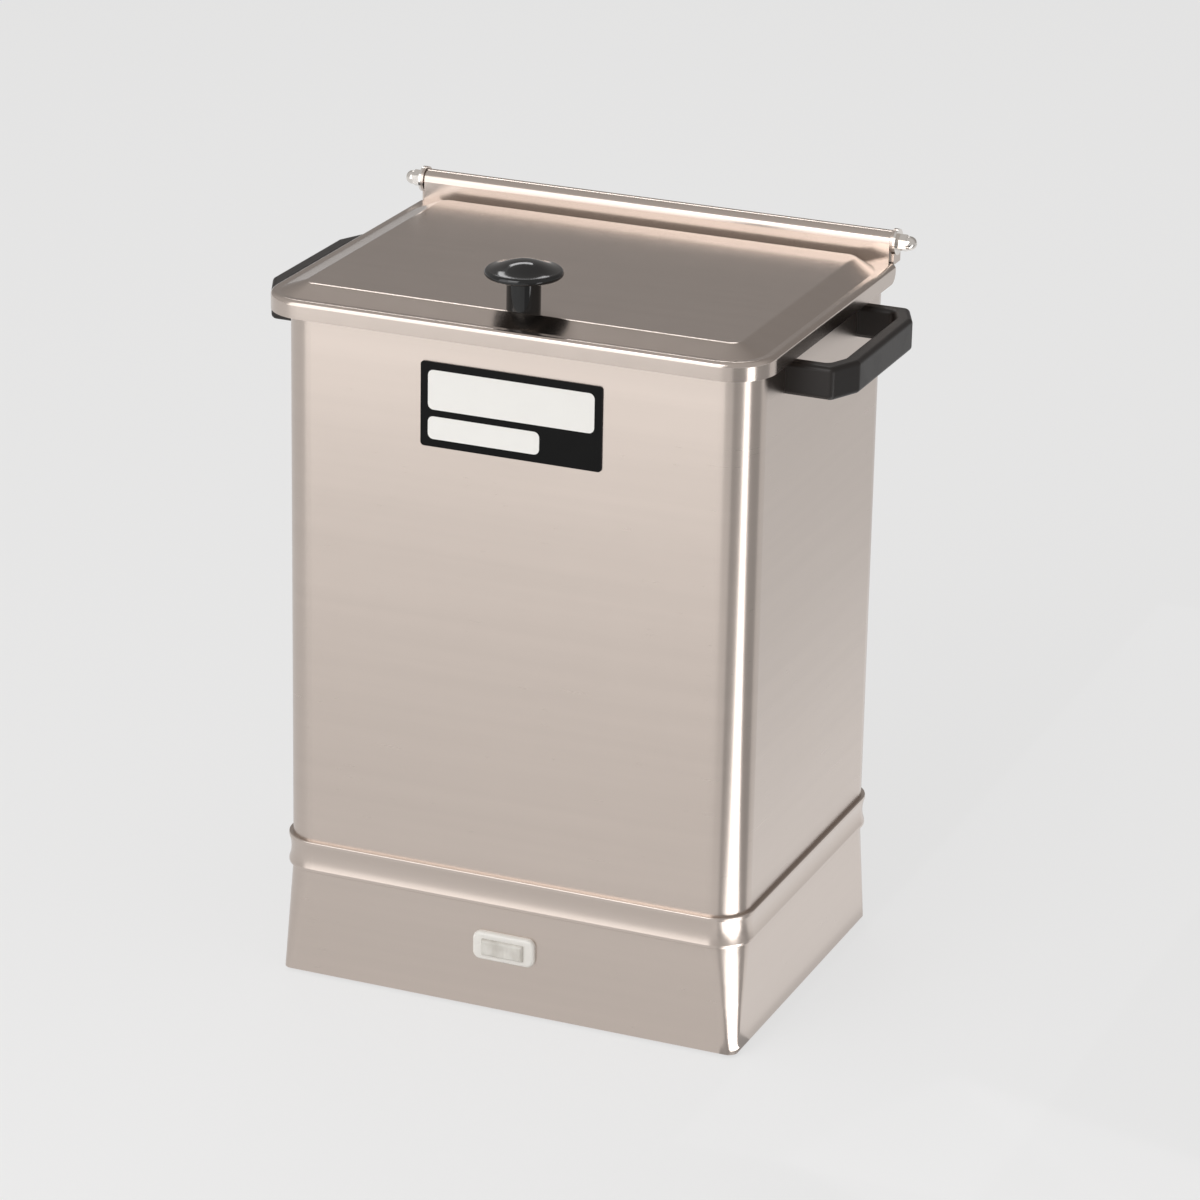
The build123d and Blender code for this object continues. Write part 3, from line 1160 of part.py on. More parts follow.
with BuildPart() as earth_nut:
    with Locations((EARTH_X, EARTH_Y, COVER_TOP + 1.0)):
        add(hex_nut(STUD_NUT_AF, STUD_D + 2 * THREAD_CLEARANCE, STUD_D * 0.8))
earth_nut.part.label = "earth_nut"
export_step(earth_nut.part, "parts/earth_nut.step")

# ------------------------------------------------------------------ cord gland at the back
with BuildPart() as cord_gland:
    with BuildSketch(Plane.XZ.offset(-HALF_D)):
        with Locations((GLAND_X, GLAND_Z)):
            RegularPolygon(CORD_GLAND_HEX_AF / 2, 6, major_radius=False)
    extrude(amount=-CORD_GLAND_OUT * 0.55)
    with BuildSketch(Plane.XZ.offset(-HALF_D - CORD_GLAND_OUT * 0.55)):
        with Locations((GLAND_X, GLAND_Z)):
            Circle(CORD_GLAND_HEX_AF * 0.46)
    extrude(amount=-CORD_GLAND_OUT * 0.45)
    fillet(cord_gland.edges().group_by(Axis.Y)[-1], 2.4)
    with BuildSketch(Plane.XZ.offset(-HALF_D)):
        with Locations((GLAND_X, GLAND_Z)):
            Circle(CORD_GLAND_THREAD_D / 2)
    extrude(amount=SHEET + CORD_GLAND_IN)
    with BuildSketch(Plane.XZ.offset(-HALF_D - CORD_GLAND_OUT)):
        with Locations((GLAND_X, GLAND_Z)):
            Circle(CORD_BORE_D / 2)
    extrude(amount=CORD_GLAND_OUT + SHEET + CORD_GLAND_IN, mode=Mode.SUBTRACT)
cord_gland.part.label = "cord_gland"
export_step(cord_gland.part, "parts/cord_gland.step")

with BuildPart() as gland_locknut:
    with Locations(Location((GLAND_X, HALF_D - SHEET, GLAND_Z), (90, 0, 0))):
        add(hex_nut(CORD_GLAND_HEX_AF, CORD_GLAND_THREAD_D + 2 * THREAD_CLEARANCE, 4.0))
gland_locknut.part.label = "gland_locknut"
export_step(gland_locknut.part, "parts/gland_locknut.step")

# ------------------------------------------------------------------ leads inside the base
BLOCK_FRONT = BLOCK_Y - BLOCK_D / 2
TAB_Z = THERMOSTAT_Z + THERMOSTAT_H / 2
TAB_Y = THERMOSTAT_Y + THERMOSTAT_DEPTH / 2 + TAB_L
LAMP_TAB_Y = -LAMP_BACK + TAB_L
CUTOUT_TAB_Z = FLOOR_Z - CUTOUT_H - CUTOUT_TAB_L
LOW = COVER_TOP + 4.0  # lowest run of a lead
LIVE, NEUTRAL, LAMP_A, LAMP_B = POLE_XS

LEAD_ROUTES = [
    # block to thermostat
    [(LIVE, BLOCK_FRONT, POLE_Z), (LIVE, BLOCK_FRONT - 14, POLE_Z), (0, BLOCK_FRONT - 3, 28),
     (THERMOSTAT_X + THERMOSTAT_TAB_X, TAB_Y + 16, TAB_Z), (THERMOSTAT_X + THERMOSTAT_TAB_X, TAB_Y, TAB_Z)],
    # thermostat round to the cut-out
    [(THERMOSTAT_X - THERMOSTAT_TAB_X, TAB_Y, TAB_Z), (THERMOSTAT_X - THERMOSTAT_TAB_X, TAB_Y + 12, TAB_Z),
     (THERMOSTAT_X - 34, TAB_Y, 30), (THERMOSTAT_X - 34, THERMOSTAT_Y - 28, 30), (0, CUTOUT_Y - 10, 34),
     (CUTOUT_X - CUTOUT_TAB_X, CUTOUT_Y, 34), (CUTOUT_X - CUTOUT_TAB_X, CUTOUT_Y, CUTOUT_TAB_Z)],
    # cut-out to the element's right pin
    [(CUTOUT_X + CUTOUT_TAB_X, CUTOUT_Y, CUTOUT_TAB_Z), (CUTOUT_X + CUTOUT_TAB_X, CUTOUT_Y, 34),
     (CUTOUT_X + CUTOUT_TAB_X, 30, 30), (ELEMENT_LEG_X, ELEMENT_BACK, 22), (ELEMENT_LEG_X, ELEMENT_BACK, PIN_END)],
    # block to the element's left pin
    [(NEUTRAL, BLOCK_FRONT, POLE_Z), (NEUTRAL, BLOCK_FRONT - 11, LOW), (0, BLOCK_FRONT + 9, LOW),
     (-ELEMENT_LEG_X, ELEMENT_BACK, 20), (-ELEMENT_LEG_X, ELEMENT_BACK, PIN_END)],
    # pilot lamp to the block
    [(-LAMP_TAB_X, LAMP_TAB_Y, LAMP_Z), (-LAMP_TAB_X, LAMP_TAB_Y + 18, LAMP_Z), (30, LAMP_TAB_Y + 18, 20),
     (LAMP_A, BLOCK_FRONT - 30, 10), (LAMP_A, BLOCK_FRONT, POLE_Z)],
    [(LAMP_TAB_X, LAMP_TAB_Y, LAMP_Z), (LAMP_TAB_X, LAMP_TAB_Y + 9, LAMP_Z), (42, LAMP_TAB_Y + 11, 16),
     (LAMP_B, BLOCK_FRONT - 40, 10), (LAMP_B, BLOCK_FRONT, POLE_Z)],
]

with BuildPart() as internal_leads:
    for route in LEAD_ROUTES:
        add(tube_along(route, 2.2 * LEAD_D, LEAD_D))
internal_leads.part.label = "internal_leads"
export_step(internal_leads.part, "parts/internal_leads.step")
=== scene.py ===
# %% [markdown]
# # A hot pack heater, dressed in Blender
# The heater is a stainless steel tank that stands on a worktop and keeps steam packs in hot water.
# Its rigid pieces arrive already modelled to size. This lesson gives them a camera, light, finishes
# and the small things that only the eye needs.

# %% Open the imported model
from math import cos, radians, sin

import bmesh
import bpy
from mathutils import Matrix, Vector


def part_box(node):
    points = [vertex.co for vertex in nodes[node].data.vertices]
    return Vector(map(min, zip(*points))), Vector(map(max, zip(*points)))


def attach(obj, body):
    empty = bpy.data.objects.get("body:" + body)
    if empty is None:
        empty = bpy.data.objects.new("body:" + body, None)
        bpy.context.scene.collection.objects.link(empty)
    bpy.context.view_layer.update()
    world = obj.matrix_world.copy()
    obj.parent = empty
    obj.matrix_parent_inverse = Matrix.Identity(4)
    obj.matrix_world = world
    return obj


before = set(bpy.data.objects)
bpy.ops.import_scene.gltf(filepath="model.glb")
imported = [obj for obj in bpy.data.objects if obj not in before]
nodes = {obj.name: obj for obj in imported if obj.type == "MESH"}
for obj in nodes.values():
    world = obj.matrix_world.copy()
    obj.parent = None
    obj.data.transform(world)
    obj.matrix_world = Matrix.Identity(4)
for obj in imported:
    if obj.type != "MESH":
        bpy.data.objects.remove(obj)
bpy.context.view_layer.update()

# %% [markdown]
# ## Camera
# The photograph was taken from the front right and from a little above, from far away with a long
# lens: the upright edges only lean in slightly. The camera is placed by an azimuth and an
# elevation round a target point, and a small roll tips it as the photographer's was tipped.

# %% Place the camera
CAMERA_AZIMUTH = radians(22.55)
CAMERA_ELEVATION = radians(20.628)
CAMERA_ROLL = radians(1.094)
CAMERA_DISTANCE = 2.5781
CAMERA_TARGET = Vector((0.00908, 0.0, 0.202156))
LENS_MM = 145.14
FILM_MM = 36


def camera_matrix():
    """The camera's place and turn, from its angles round the target."""
    back = Vector((sin(CAMERA_AZIMUTH) * cos(CAMERA_ELEVATION),
                   -cos(CAMERA_AZIMUTH) * cos(CAMERA_ELEVATION), sin(CAMERA_ELEVATION)))
    right = Vector((cos(CAMERA_AZIMUTH), sin(CAMERA_AZIMUTH), 0))
    up = back.cross(right)
    rolled_right = cos(CAMERA_ROLL) * right + sin(CAMERA_ROLL) * up
    rolled_up = cos(CAMERA_ROLL) * up - sin(CAMERA_ROLL) * right
    turn = Matrix((rolled_right, rolled_up, back)).transposed().to_4x4()
    return Matrix.Translation(CAMERA_TARGET + CAMERA_DISTANCE * back) @ turn


camera_data = bpy.data.cameras.new("photo_camera")
camera_data.lens = LENS_MM
camera_data.sensor_width = FILM_MM
camera_data.clip_end = 50
camera = bpy.data.objects.new("photo_camera", camera_data)
camera.matrix_world = camera_matrix()
bpy.context.collection.objects.link(camera)
bpy.context.scene.camera = camera
print("camera at", [round(v, 3) for v in camera.matrix_world.translation])

# %% [markdown]
# ## Node helpers
# A material is a small graph of nodes. These helpers make one node with its settings, join two
# sockets, and open a node group whose sockets are made with `interface.new_socket`.


# %% Helpers for node graphs
def node(tree, kind, **settings):
    """A node of that kind; settings name its properties, or its inputs by their label."""
    made = tree.nodes.new(kind)
    for key, value in settings.items():
        label = key.replace("_", " ")
        if hasattr(made, key):
            setattr(made, key, value)
        else:
            made.inputs[label].default_value = value
    return made


def join(tree, source, target):
    tree.links.new(source, target)


def open_group(name, inputs, outputs):
    """A shader node group with named inputs (name, socket kind, default) and outputs."""
    tree = bpy.data.node_groups.new(name, "ShaderNodeTree")
    for label, kind, value in inputs:
        socket = tree.interface.new_socket(label, in_out="INPUT", socket_type=kind)
        if value is not None:
            socket.default_value = value
    for label, kind in outputs:
        tree.interface.new_socket(label, in_out="OUTPUT", socket_type=kind)
    return tree, tree.nodes.new("NodeGroupInput"), tree.nodes.new("NodeGroupOutput")


def place_group(tree, group, **values):
    placed = tree.nodes.new("ShaderNodeGroup")
    placed.node_tree = group
    for key, value in values.items():
        placed.inputs[key.replace("_", " ")].default_value = value
    return placed


def new_material(name):
    """A material with an empty graph, its shader and its Object coordinates."""
    material = bpy.data.materials.new(name)
    material.use_nodes = True
    tree = material.node_tree
    tree.nodes.clear()
    shader = tree.nodes.new("ShaderNodeBsdfPrincipled")
    output = tree.nodes.new("ShaderNodeOutputMaterial")
    join(tree, shader.outputs["BSDF"], output.inputs["Surface"])
    place = tree.nodes.new("ShaderNodeTexCoord")
    return material, tree, shader, place.outputs["Object"]


# %% [markdown]
# ## Brushed grain
# Satin stainless is rubbed with an abrasive belt, so it is covered with fine parallel scratches
# that are long one way and very narrow the other. A noise texture stretched along the rubbing
# direction draws them. The same group serves every brushed piece, each with its own stretch.

# %% The grain group
grain, grain_in, grain_out = open_group(
    "brushed_grain",
    [("Vector", "NodeSocketVector", None), ("Stretch", "NodeSocketVector", (1.0, 1.0, 1.0))],
    [("Scratches", "NodeSocketFloat"), ("Streaks", "NodeSocketFloat")])
stretched = node(grain, "ShaderNodeVectorMath", operation="MULTIPLY")
join(grain, grain_in.outputs["Vector"], stretched.inputs[0])
join(grain, grain_in.outputs["Stretch"], stretched.inputs[1])
scratches = node(grain, "ShaderNodeTexNoise", Scale=1800.0, Detail=3.0, Roughness=0.6)
streaks = node(grain, "ShaderNodeTexNoise", Scale=240.0, Detail=2.0, Roughness=0.5)
for texture, label in ((scratches, "Scratches"), (streaks, "Streaks")):
    join(grain, stretched.outputs[0], texture.inputs["Vector"])
    join(grain, texture.outputs["Fac"], grain_out.inputs[label])
print("group", grain.name, "ready")

# %% [markdown]
# ## Handling marks
# A heater in daily use is wiped with a cloth and touched with wet hands. That leaves soft
# cloudy patches that are a little duller than the metal round them. Two noise textures, one
# large and one small, make a mask for them.

# %% The marks group
marks, marks_in, marks_out = open_group(
    "handling_marks", [("Vector", "NodeSocketVector", None), ("Amount", "NodeSocketFloat", 0.5)],
    [("Mask", "NodeSocketFloat")])
clouds = node(marks, "ShaderNodeTexNoise", Scale=9.0, Detail=4.0, Roughness=0.55, Distortion=0.6)
spots = node(marks, "ShaderNodeTexNoise", Scale=70.0, Detail=2.0, Roughness=0.5)
both = node(marks, "ShaderNodeMath", operation="MULTIPLY")
ramp = node(marks, "ShaderNodeMapRange", From_Min=0.18, From_Max=0.42)
amount = node(marks, "ShaderNodeMath", operation="MULTIPLY")
join(marks, marks_in.outputs["Vector"], clouds.inputs["Vector"])
join(marks, marks_in.outputs["Vector"], spots.inputs["Vector"])
join(marks, clouds.outputs["Fac"], both.inputs[0])
join(marks, spots.outputs["Fac"], both.inputs[1])
join(marks, both.outputs[0], ramp.inputs["Value"])
join(marks, ramp.outputs["Result"], amount.inputs[0])
join(marks, marks_in.outputs["Amount"], amount.inputs[1])
join(marks, amount.outputs[0], marks_out.inputs["Mask"])

# %% [markdown]
# ## Metals
# All the metals share one recipe: a metallic shader whose colour and roughness change a little
# with the grain and the marks, and whose bump comes from the scratches. Only the numbers differ
# from the satin sheet of the tank to the polished hinge rod.


# %% A metal from a few numbers
GRAIN_SPREAD = 0.06  # how much the scratches change the roughness, as a share of it
MARK_ROUGHNESS = 0.12  # what a handling mark adds to the roughness
SCRATCH_DEPTH = 0.0002


def metal(name, color, roughness, stretch=(1, 1, 1), grain_depth=0.12, worn=0.5, shade=0.93,
          spread_up=0.0):
    """A metal: a small stretch draws the grain out along that axis, shade is its darkest tone."""
    material, tree, shader, place = new_material(name)
    lines = place_group(tree, grain, Stretch=stretch)
    dull = place_group(tree, marks, Amount=worn)
    join(tree, place, lines.inputs["Vector"])
    join(tree, place, dull.inputs["Vector"])
    tone = node(tree, "ShaderNodeMix", data_type="RGBA")
    tone.inputs[6].default_value = (*color, 1)
    tone.inputs[7].default_value = (*[channel * shade for channel in color], 1)
    join(tree, lines.outputs["Streaks"], tone.inputs[0])
    join(tree, tone.outputs[2], shader.inputs["Base Color"])
    spread = node(tree, "ShaderNodeMapRange", To_Min=roughness * (1 - GRAIN_SPREAD),
                  To_Max=roughness * (1 + GRAIN_SPREAD))
    join(tree, lines.outputs["Scratches"], spread.inputs["Value"])
    duller = node(tree, "ShaderNodeMath", operation="MULTIPLY_ADD")
    duller.inputs[1].default_value = MARK_ROUGHNESS
    join(tree, dull.outputs["Mask"], duller.inputs[0])
    join(tree, spread.outputs["Result"], duller.inputs[2])
    join(tree, duller.outputs[0], shader.inputs["Roughness"])
    bump = node(tree, "ShaderNodeBump", Strength=grain_depth, Distance=SCRATCH_DEPTH)
    join(tree, lines.outputs["Scratches"], bump.inputs["Height"])
    join(tree, bump.outputs["Normal"], shader.inputs["Normal"])
    shader.inputs["Metallic"].default_value = 1.0
    if spread_up:
        # scratches that run round the piece smear its highlights up and down
        shader.inputs["Anisotropic"].default_value = spread_up
        shader.inputs["Anisotropic Rotation"].default_value = 0.25
        round_z = node(tree, "ShaderNodeTangent", direction_type="RADIAL", axis="Z")
        join(tree, round_z.outputs["Tangent"], shader.inputs["Tangent"])
    return material


WARM_STEEL = (0.585, 0.51, 0.46)
BELT_ROUND = (0.012, 0.012, 0.6)  # rubbed round the heater, so the lines lie level on every wall
BELT_ACROSS = (0.012, 0.6, 0.6)  # rubbed from left to right

tank_steel = metal("satin_steel_tank", WARM_STEEL, 0.28, stretch=BELT_ROUND, grain_depth=0.006,
                   worn=0.10, spread_up=0.7)
skirt_steel = metal("satin_steel_skirt", WARM_STEEL, 0.28, stretch=BELT_ROUND, grain_depth=0.006,
                    worn=0.10, spread_up=0.5)
lid_steel = metal("satin_steel_lid", WARM_STEEL, 0.19, stretch=BELT_ACROSS, grain_depth=0.006,
                  worn=0.15)
rail_steel = metal("satin_steel_rail", WARM_STEEL, 0.30, stretch=(0.04, 1.0, 1.0))
bright_steel = metal("polished_steel", (0.80, 0.76, 0.72), 0.14, stretch=(0.06, 1.0, 1.0),
                     grain_depth=0.03, worn=0.3)
wire_steel = metal("drawn_wire", (0.74, 0.70, 0.67), 0.22, grain_depth=0.04)
zinc_plate = metal("zinc_plate", (0.62, 0.63, 0.64), 0.36, grain_depth=0.10, worn=0.9)
machined_brass = metal("machined_brass", (0.78, 0.58, 0.27), 0.26, stretch=(0.3, 0.3, 1.0),
                       grain_depth=0.06)
drawn_copper = metal("drawn_copper", (0.72, 0.40, 0.27), 0.28, worn=0.9)
scaled_sheath = metal("element_sheath", (0.24, 0.22, 0.21), 0.48, worn=1.0, shade=0.6)
print("materials so far:", len(bpy.data.materials))

# %% [markdown]
# ## Mouldings
# Handles, knob, lamp housing and terminal block are moulded plastic. A moulding has a faint
# uneven skin, called orange peel, that shows only in its highlights. A low bump does that, and
# the marks group makes soft patches of it a little duller.


# %% A moulded plastic from a few numbers
PEEL_HEIGHT = 0.0003
RUBBED_ROUGHNESS = 0.14  # what a handling mark adds to the roughness
DUST = 0.004  # how much paler a mark makes a black


def moulding(name, color, roughness, peel=0.15, peel_scale=420.0, worn=0.4, coat=0.0, fade=0.75,
             shine=0.5):
    """A plastic: peel is its skin's unevenness, fade the tone of its marks, shine its reflection."""
    material, tree, shader, place = new_material(name)
    dull = place_group(tree, marks, Amount=worn)
    join(tree, place, dull.inputs["Vector"])
    tone = node(tree, "ShaderNodeMix", data_type="RGBA")
    tone.inputs[6].default_value = (*color, 1)
    tone.inputs[7].default_value = (*[channel * fade + DUST for channel in color], 1)
    join(tree, dull.outputs["Mask"], tone.inputs[0])
    join(tree, tone.outputs[2], shader.inputs["Base Color"])
    rub = node(tree, "ShaderNodeMapRange", To_Min=roughness, To_Max=roughness + RUBBED_ROUGHNESS)
    join(tree, dull.outputs["Mask"], rub.inputs["Value"])
    join(tree, rub.outputs["Result"], shader.inputs["Roughness"])
    skin = node(tree, "ShaderNodeTexNoise", Scale=peel_scale, Detail=2.0)
    join(tree, place, skin.inputs["Vector"])
    bump = node(tree, "ShaderNodeBump", Strength=peel, Distance=PEEL_HEIGHT)
    join(tree, skin.outputs["Fac"], bump.inputs["Height"])
    join(tree, bump.outputs["Normal"], shader.inputs["Normal"])
    shader.inputs["Specular IOR Level"].default_value = shine
    shader.inputs["Coat Weight"].default_value = coat
    shader.inputs["Coat Roughness"].default_value = 0.05
    return material


handle_black = moulding("handle_phenolic", (0.008, 0.0045, 0.003), 0.42, peel=0.10, worn=0.6,
                        shine=0.42)
knob_black = moulding("knob_phenolic", (0.003, 0.003, 0.003), 0.09, peel=0.02, worn=0.25, coat=0.15,
                      shine=0.45)
nylon_black = moulding("matt_nylon", (0.022, 0.022, 0.022), 0.50, peel=0.25)
housing_white = moulding("lamp_housing", (0.83, 0.81, 0.77), 0.26, peel=0.05, fade=0.93)
block_white = moulding("terminal_moulding", (0.78, 0.76, 0.70), 0.40, fade=0.9)
foot_rubber = moulding("foot_rubber", (0.025, 0.024, 0.023), 0.62, peel=0.4, peel_scale=900.0)
sleeve_red = moulding("lead_sleeve", (0.42, 0.05, 0.04), 0.42, peel=0.10)
label_black = moulding("label_foil", (0.002, 0.002, 0.002), 0.30, peel=0.03, worn=0.2, shine=0.12)
label_white = moulding("label_field", (0.86, 0.85, 0.82), 0.28, peel=0.03, worn=0.2, fade=0.95)

# %% [markdown]
# ## The pilot lamp's lens
# The lens is a frosted clear moulding with fine upright ribs on its inside that spread the small
# lamp's light. Off, it looks milky grey. The ribs are a wave texture in the bump, which keeps the
# solid simple, and a noise makes the colour cloudy. The glass of the small lamp behind it is
# clear and only a little hazy.

# %% The lens and the glass
lens_frost, tree, shader, place = new_material("lens_frost")
ribs = node(tree, "ShaderNodeTexWave", wave_type="BANDS", bands_direction="X", Scale=160.0,
            Distortion=0.0)
cloud = node(tree, "ShaderNodeTexNoise", Scale=95.0, Detail=2.0)
join(tree, place, ribs.inputs["Vector"])
join(tree, place, cloud.inputs["Vector"])
milk = node(tree, "ShaderNodeMix", data_type="RGBA")
milk.inputs[6].default_value = (0.60, 0.57, 0.52, 1)
milk.inputs[7].default_value = (0.80, 0.78, 0.73, 1)
spread = node(tree, "ShaderNodeMapRange", From_Min=0.35, From_Max=0.65)
join(tree, cloud.outputs["Fac"], spread.inputs["Value"])
join(tree, spread.outputs["Result"], milk.inputs[0])
join(tree, milk.outputs[2], shader.inputs["Base Color"])
bump = node(tree, "ShaderNodeBump", Strength=0.35, Distance=0.0003)
join(tree, ribs.outputs["Fac"], bump.inputs["Height"])
join(tree, bump.outputs["Normal"], shader.inputs["Normal"])
shader.inputs["Roughness"].default_value = 0.22
shader.inputs["Transmission Weight"].default_value = 0.1

bulb_glass, tree, shader, place = new_material("bulb_glass")
haze = node(tree, "ShaderNodeTexNoise", Scale=300.0)
join(tree, place, haze.inputs["Vector"])
rough = node(tree, "ShaderNodeMapRange", To_Min=0.04, To_Max=0.16)
join(tree, haze.outputs["Fac"], rough.inputs["Value"])
join(tree, rough.outputs["Result"], shader.inputs["Roughness"])
shader.inputs["Base Color"].default_value = (0.95, 0.80, 0.66, 1)
shader.inputs["Transmission Weight"].default_value = 0.85

# %% [markdown]
# ## Dress the solid pieces
# Every solid keeps its own mesh and place. Only its material slots change, so the finishes can be
# tried again at any time without touching a shape.

# %% Assign the finishes
FINISHES = {
    tank_steel: ["tank"],
    skirt_steel: ["base_skirt"],
    lid_steel: ["lid"],
    rail_steel: ["hinge_rail", "sensor_clip"],
    bright_steel: ["hinge_rod", "hinge_washers", "acorn_nuts", "handle_screws", "handle_washers",
                   "knob_screw"],
    wire_steel: ["pack_rack"],
    zinc_plate: ["bottom_cover", "cover_screws", "cover_nuts", "thermostat_bracket", "thermostat_nut",
                 "bracket_rivets", "cutout_strap", "lamp_clip", "earth_stud", "earth_nut",
                 "adjusting_stem", "knob_washer"],
    machined_brass: ["knob_insert", "handle_inserts", "lamp_tabs", "thermostat_tabs", "terminal_screws",
                     "element_glands", "element_nuts", "sensor_gland", "sensor_nut"],
    drawn_copper: ["sensor_bulb"],
    scaled_sheath: ["heating_element"],
    handle_black: ["left_handle", "right_handle"],
    knob_black: ["lid_knob"],
    nylon_black: ["thermostat", "cord_gland", "gland_locknut", "limit_cutout"],
    housing_white: ["lamp_bezel"],
    block_white: ["terminal_block"],
    foot_rubber: ["rubber_feet", "element_gaskets"],
    sleeve_red: ["internal_leads"],
    label_black: ["label_plate"],
    lens_frost: ["lamp_lens"],
    bulb_glass: ["neon_bulb"],
}
for finish, names in FINISHES.items():
    for name in names:
        solid = nodes[name]
        solid.data.materials.clear()
        solid.data.materials.append(finish)
dressed = {name for names in FINISHES.values() for name in names}
print("dressed", len(dressed), "of", len(nodes), "missing:", sorted(set(nodes) - dressed))

# %% [markdown]
# ## The label's printed fields
# The plate on the front is a black foil with white fields. Each field is a thin rounded sheet
# just proud of the plate. It starts as a cube, which is scaled to the field's width, height and
# thickness, and whose four short edges are then bevelled round.


# %% Make the fields
def thin_field(name, left, right, bottom, top, front, depth, corner):
    """A thin rounded plate that faces the front, between those edges."""
    shape = bmesh.new()
    bmesh.ops.create_cube(shape, size=1.0)
    bmesh.ops.scale(shape, vec=(right - left, depth, top - bottom), verts=shape.verts)
    middle = ((left + right) / 2, front + depth / 2, (bottom + top) / 2)
    bmesh.ops.translate(shape, vec=middle, verts=shape.verts)
    along_y = [e for e in shape.edges if abs(e.verts[0].co.y - e.verts[1].co.y) > depth / 2]
    bmesh.ops.bevel(shape, geom=along_y, offset=corner, segments=5, profile=0.5, affect="EDGES",
                    material=-1)
    mesh = bpy.data.meshes.new(name)
    shape.to_mesh(mesh)
    shape.free()
    piece = bpy.data.objects.new(name, mesh)
    bpy.context.collection.objects.link(piece)
    return piece


label_low, label_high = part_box("label_plate")
FIELD_PROUD = 0.00012
MARGIN = 0.0042
FIELD_CORNER = 0.003
LOW_FIELD_SHORTER = 0.030
UPPER_FROM = 0.44  # where the wide field begins, as a share of the plate's height
LOWER_TO = 0.36  # where the low field ends
field_front = label_low[1] - FIELD_PROUD
left, right = label_low[0] + MARGIN, label_high[0] - MARGIN
bottom, top = label_low[2], label_high[2]
height = top - bottom
fields = [
    thin_field("label_wide_field", left, right, bottom + UPPER_FROM * height, top - MARGIN,
               field_front, 2 * FIELD_PROUD, FIELD_CORNER),
    thin_field("label_low_field", left, right - LOW_FIELD_SHORTER, bottom + MARGIN,
               bottom + LOWER_TO * height, field_front, 2 * FIELD_PROUD, FIELD_CORNER),
]
for piece in fields:
    piece.data.materials.append(label_white)
    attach(piece, "heater")
print("label fields:", len(fields))

# %% [markdown]
# ## Floor, world and light
# The photograph has a plain pale grey ground and soft light. Three quarters of what the camera and
# the reflections see of the floor is its own plain grey, so that it stays even, and the rest keeps
# the shadow. The flat top of the lid mirrors the dark side of the studio behind the heater, so the
# world is darker there.

# %% The ground
GROUND = (0.86, 0.86, 0.86)
EVEN = 0.75
FLOOR_HALF = 9.0
shape = bmesh.new()
bmesh.ops.create_grid(shape, x_segments=1, y_segments=1, size=FLOOR_HALF)
mesh = bpy.data.meshes.new("studio_floor")
shape.to_mesh(mesh)
shape.free()
floor = bpy.data.objects.new("studio_floor", mesh)
bpy.context.collection.objects.link(floor)
ground, tree, shader, place = new_material("pale_ground")
shader.inputs["Base Color"].default_value = (*GROUND, 1)
shader.inputs["Roughness"].default_value = 0.9
path = tree.nodes.new("ShaderNodeLightPath")
seen = node(tree, "ShaderNodeMath", operation="MAXIMUM")
join(tree, path.outputs["Is Camera Ray"], seen.inputs[0])
join(tree, path.outputs["Is Glossy Ray"], seen.inputs[1])
seen_through = node(tree, "ShaderNodeMath", operation="MAXIMUM")
join(tree, seen.outputs[0], seen_through.inputs[0])
join(tree, path.outputs["Is Transmission Ray"], seen_through.inputs[1])
share = node(tree, "ShaderNodeMath", operation="MULTIPLY")
share.inputs[1].default_value = EVEN
join(tree, seen_through.outputs[0], share.inputs[0])
plain = tree.nodes.new("ShaderNodeEmission")
plain.inputs["Color"].default_value = (*GROUND, 1)
blend = tree.nodes.new("ShaderNodeMixShader")
join(tree, share.outputs[0], blend.inputs[0])
join(tree, shader.outputs[0], blend.inputs[1])
join(tree, plain.outputs[0], blend.inputs[2])
# seen from below, the ground is clear, so that the feet and the cover can be looked at
under = tree.nodes.new("ShaderNodeNewGeometry")
clear = tree.nodes.new("ShaderNodeBsdfTransparent")
one_sided = tree.nodes.new("ShaderNodeMixShader")
join(tree, under.outputs["Backfacing"], one_sided.inputs[0])
join(tree, blend.outputs[0], one_sided.inputs[1])
join(tree, clear.outputs[0], one_sided.inputs[2])
surface = next(n for n in tree.nodes if n.type == "OUTPUT_MATERIAL").inputs["Surface"]
join(tree, one_sided.outputs[0], surface)
floor.data.materials.append(ground)

# %% The world
world = bpy.data.worlds.new("studio_world")
bpy.context.scene.world = world
world.use_nodes = True
tree = world.node_tree
tree.nodes.clear()
where = tree.nodes.new("ShaderNodeTexCoord")
split = tree.nodes.new("ShaderNodeSeparateXYZ")
join(tree, where.outputs["Generated"], split.inputs[0])
side = node(tree, "ShaderNodeMapRange", From_Min=0.15, From_Max=0.75)  # Y points to the back
join(tree, split.outputs["Y"], side.inputs["Value"])
sky = node(tree, "ShaderNodeMix", data_type="RGBA")
sky.inputs[6].default_value = (0.60, 0.59, 0.58, 1)
sky.inputs[7].default_value = (0.33, 0.315, 0.305, 1)
join(tree, side.outputs["Result"], sky.inputs[0])
background = node(tree, "ShaderNodeBackground", Strength=1.0)
join(tree, sky.outputs[2], background.inputs["Color"])
output = tree.nodes.new("ShaderNodeOutputWorld")
join(tree, background.outputs[0], output.inputs["Surface"])

# %% [markdown]
# ## Softboxes
# A big softbox stands before the heater. It is made of two lamps, so that each can be set alone:
# one that only the mirroring steel sees, and one that only lights what is matt. A strip behind
# the heater draws the thin white lines on the lid's bends, and a wide lamp in front and above
# lights the lid and its knob.


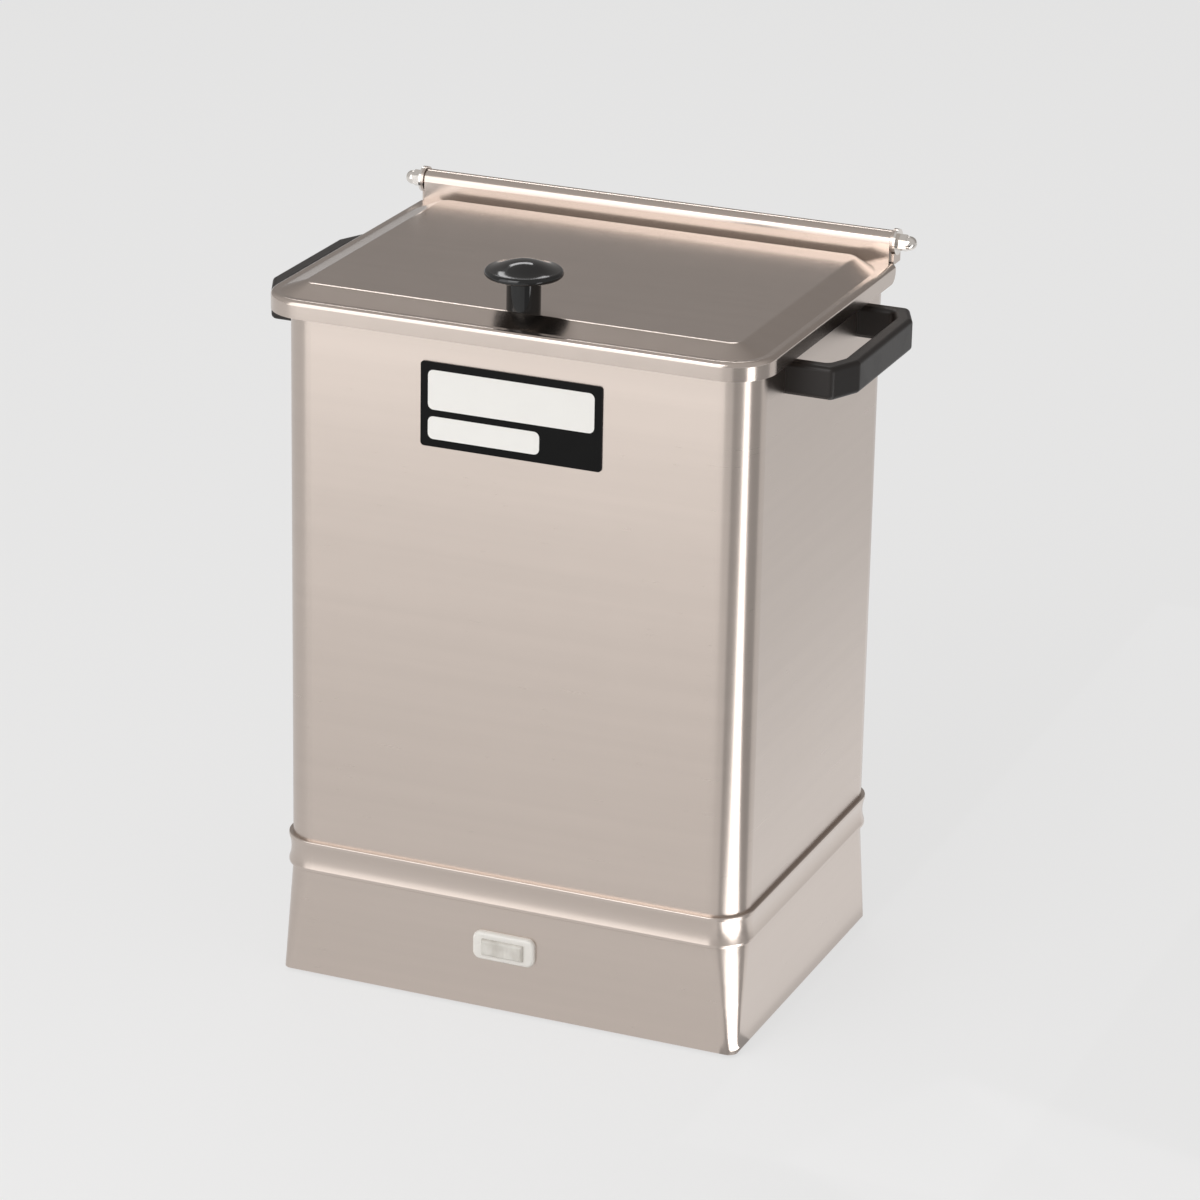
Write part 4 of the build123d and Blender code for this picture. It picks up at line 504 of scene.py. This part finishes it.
# %% Hang the softboxes
def softbox(name, place, aim, width, height, power, mirrors=True, paints=True):
    """A rectangular lamp that looks at the aim, seen in mirrors, lighting matt colours, or both."""
    data = bpy.data.lights.new(name, "AREA")
    data.shape = "RECTANGLE"
    data.size = width
    data.size_y = height
    data.energy = power
    lamp = bpy.data.objects.new(name, data)
    lamp.location = place
    lamp.rotation_euler = (Vector(aim) - Vector(place)).to_track_quat("-Z", "Y").to_euler()
    lamp.visible_camera = False
    lamp.visible_glossy = mirrors
    lamp.visible_diffuse = paints
    bpy.context.collection.objects.link(lamp)
    return lamp


FRONT_X, FRONT_Y = -0.42, -1.02
FRONT_WIDTH = 1.1
softbox("front_shine", (FRONT_X, FRONT_Y, 0.81), aim=(-0.05, 0, 0.78), width=FRONT_WIDTH,
        height=1.4, power=7.4, paints=False)
softbox("front_fill", (FRONT_X, FRONT_Y, 0.64), aim=(-0.05, 0, 0.4), width=FRONT_WIDTH,
        height=0.9, power=3.6, mirrors=False)
softbox("edge_light", (-0.79, 1.49, 1.80), aim=(0, 0, 0.38), width=0.9, height=0.30, power=3.4)
softbox("top_light", (-0.3, -1.9, 1.6), aim=(0, 0, 0.3), width=1.1, height=0.8, power=8)

# %% [markdown]
# ## Cards before the corner
# The front right corner of the tank is a tall, thin mirror that looks at the ground beside it. In
# the photograph it holds a white line with a darker band on each side. A studio makes such a line
# with a white strip laid between black flags, so both lie on the ground here. Only reflections
# see them. A third card beside the right wall makes that wall paler towards its foot.


# %% Lay the cards
def card(name, start, rows, turn, lift, tone):
    """A flat card that leads away from its start; rows give its distances and its widths there."""
    shape = bmesh.new()
    bmesh.ops.create_grid(shape, x_segments=1, y_segments=len(rows) - 1, size=0.5)
    for corner in shape.verts:
        distance, width = rows[round((0.5 - corner.co.y) * (len(rows) - 1))]
        corner.co = Vector((corner.co.x * width, -distance, 0))
    bmesh.ops.rotate(shape, verts=shape.verts, cent=(0, 0, 0), matrix=Matrix.Rotation(turn, 3, "Z"))
    bmesh.ops.translate(shape, verts=shape.verts, vec=(start[0], start[1], lift))
    mesh = bpy.data.meshes.new(name)
    shape.to_mesh(mesh)
    shape.free()
    piece = bpy.data.objects.new(name, mesh)
    bpy.context.collection.objects.link(piece)
    finish = bpy.data.materials.new(name)
    finish.use_nodes = True
    finish.node_tree.nodes.clear()
    plain = node(finish.node_tree, "ShaderNodeEmission", Strength=tone)
    output = finish.node_tree.nodes.new("ShaderNodeOutputMaterial")
    join(finish.node_tree, plain.outputs[0], output.inputs["Surface"])
    mesh.materials.append(finish)
    piece.visible_camera = False
    piece.visible_diffuse = False
    piece.visible_transmission = False
    piece.visible_shadow = False
    return piece


tank_low, tank_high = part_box("tank")
CORNER_IN = 0.012  # from the tank's box to the middle of its rounded corner
SIDE_SHIFT = 0.12  # how far behind the tank the middle of the pale card lies
corner_foot = (tank_high[0] - CORNER_IN, tank_low[1] + CORNER_IN)
side_middle = (tank_high[0], tank_high[1] + SIDE_SHIFT)
SIDE_ROWS = [(0.0, 0.85), (0.16, 0.85)]
FLAG_ROWS = [(0.0, 0.03), (2.5, 6.0)]
STRIP_ROWS = [(0.004, 0.004), (0.03, 0.05), (0.10, 0.13), (0.65, 0.25), (2.2, 0.60)]
card("pale_side", side_middle, SIDE_ROWS, turn=radians(90), lift=0.001, tone=0.98)
card("black_flags", corner_foot, FLAG_ROWS, turn=radians(74), lift=0.002, tone=0.42)
card("white_strip", corner_foot, STRIP_ROWS, turn=radians(69), lift=0.004, tone=3.6)
print("cards laid before the corner at", [round(v, 3) for v in corner_foot])

# %% Set the view
bpy.context.scene.view_settings.view_transform = "Standard"
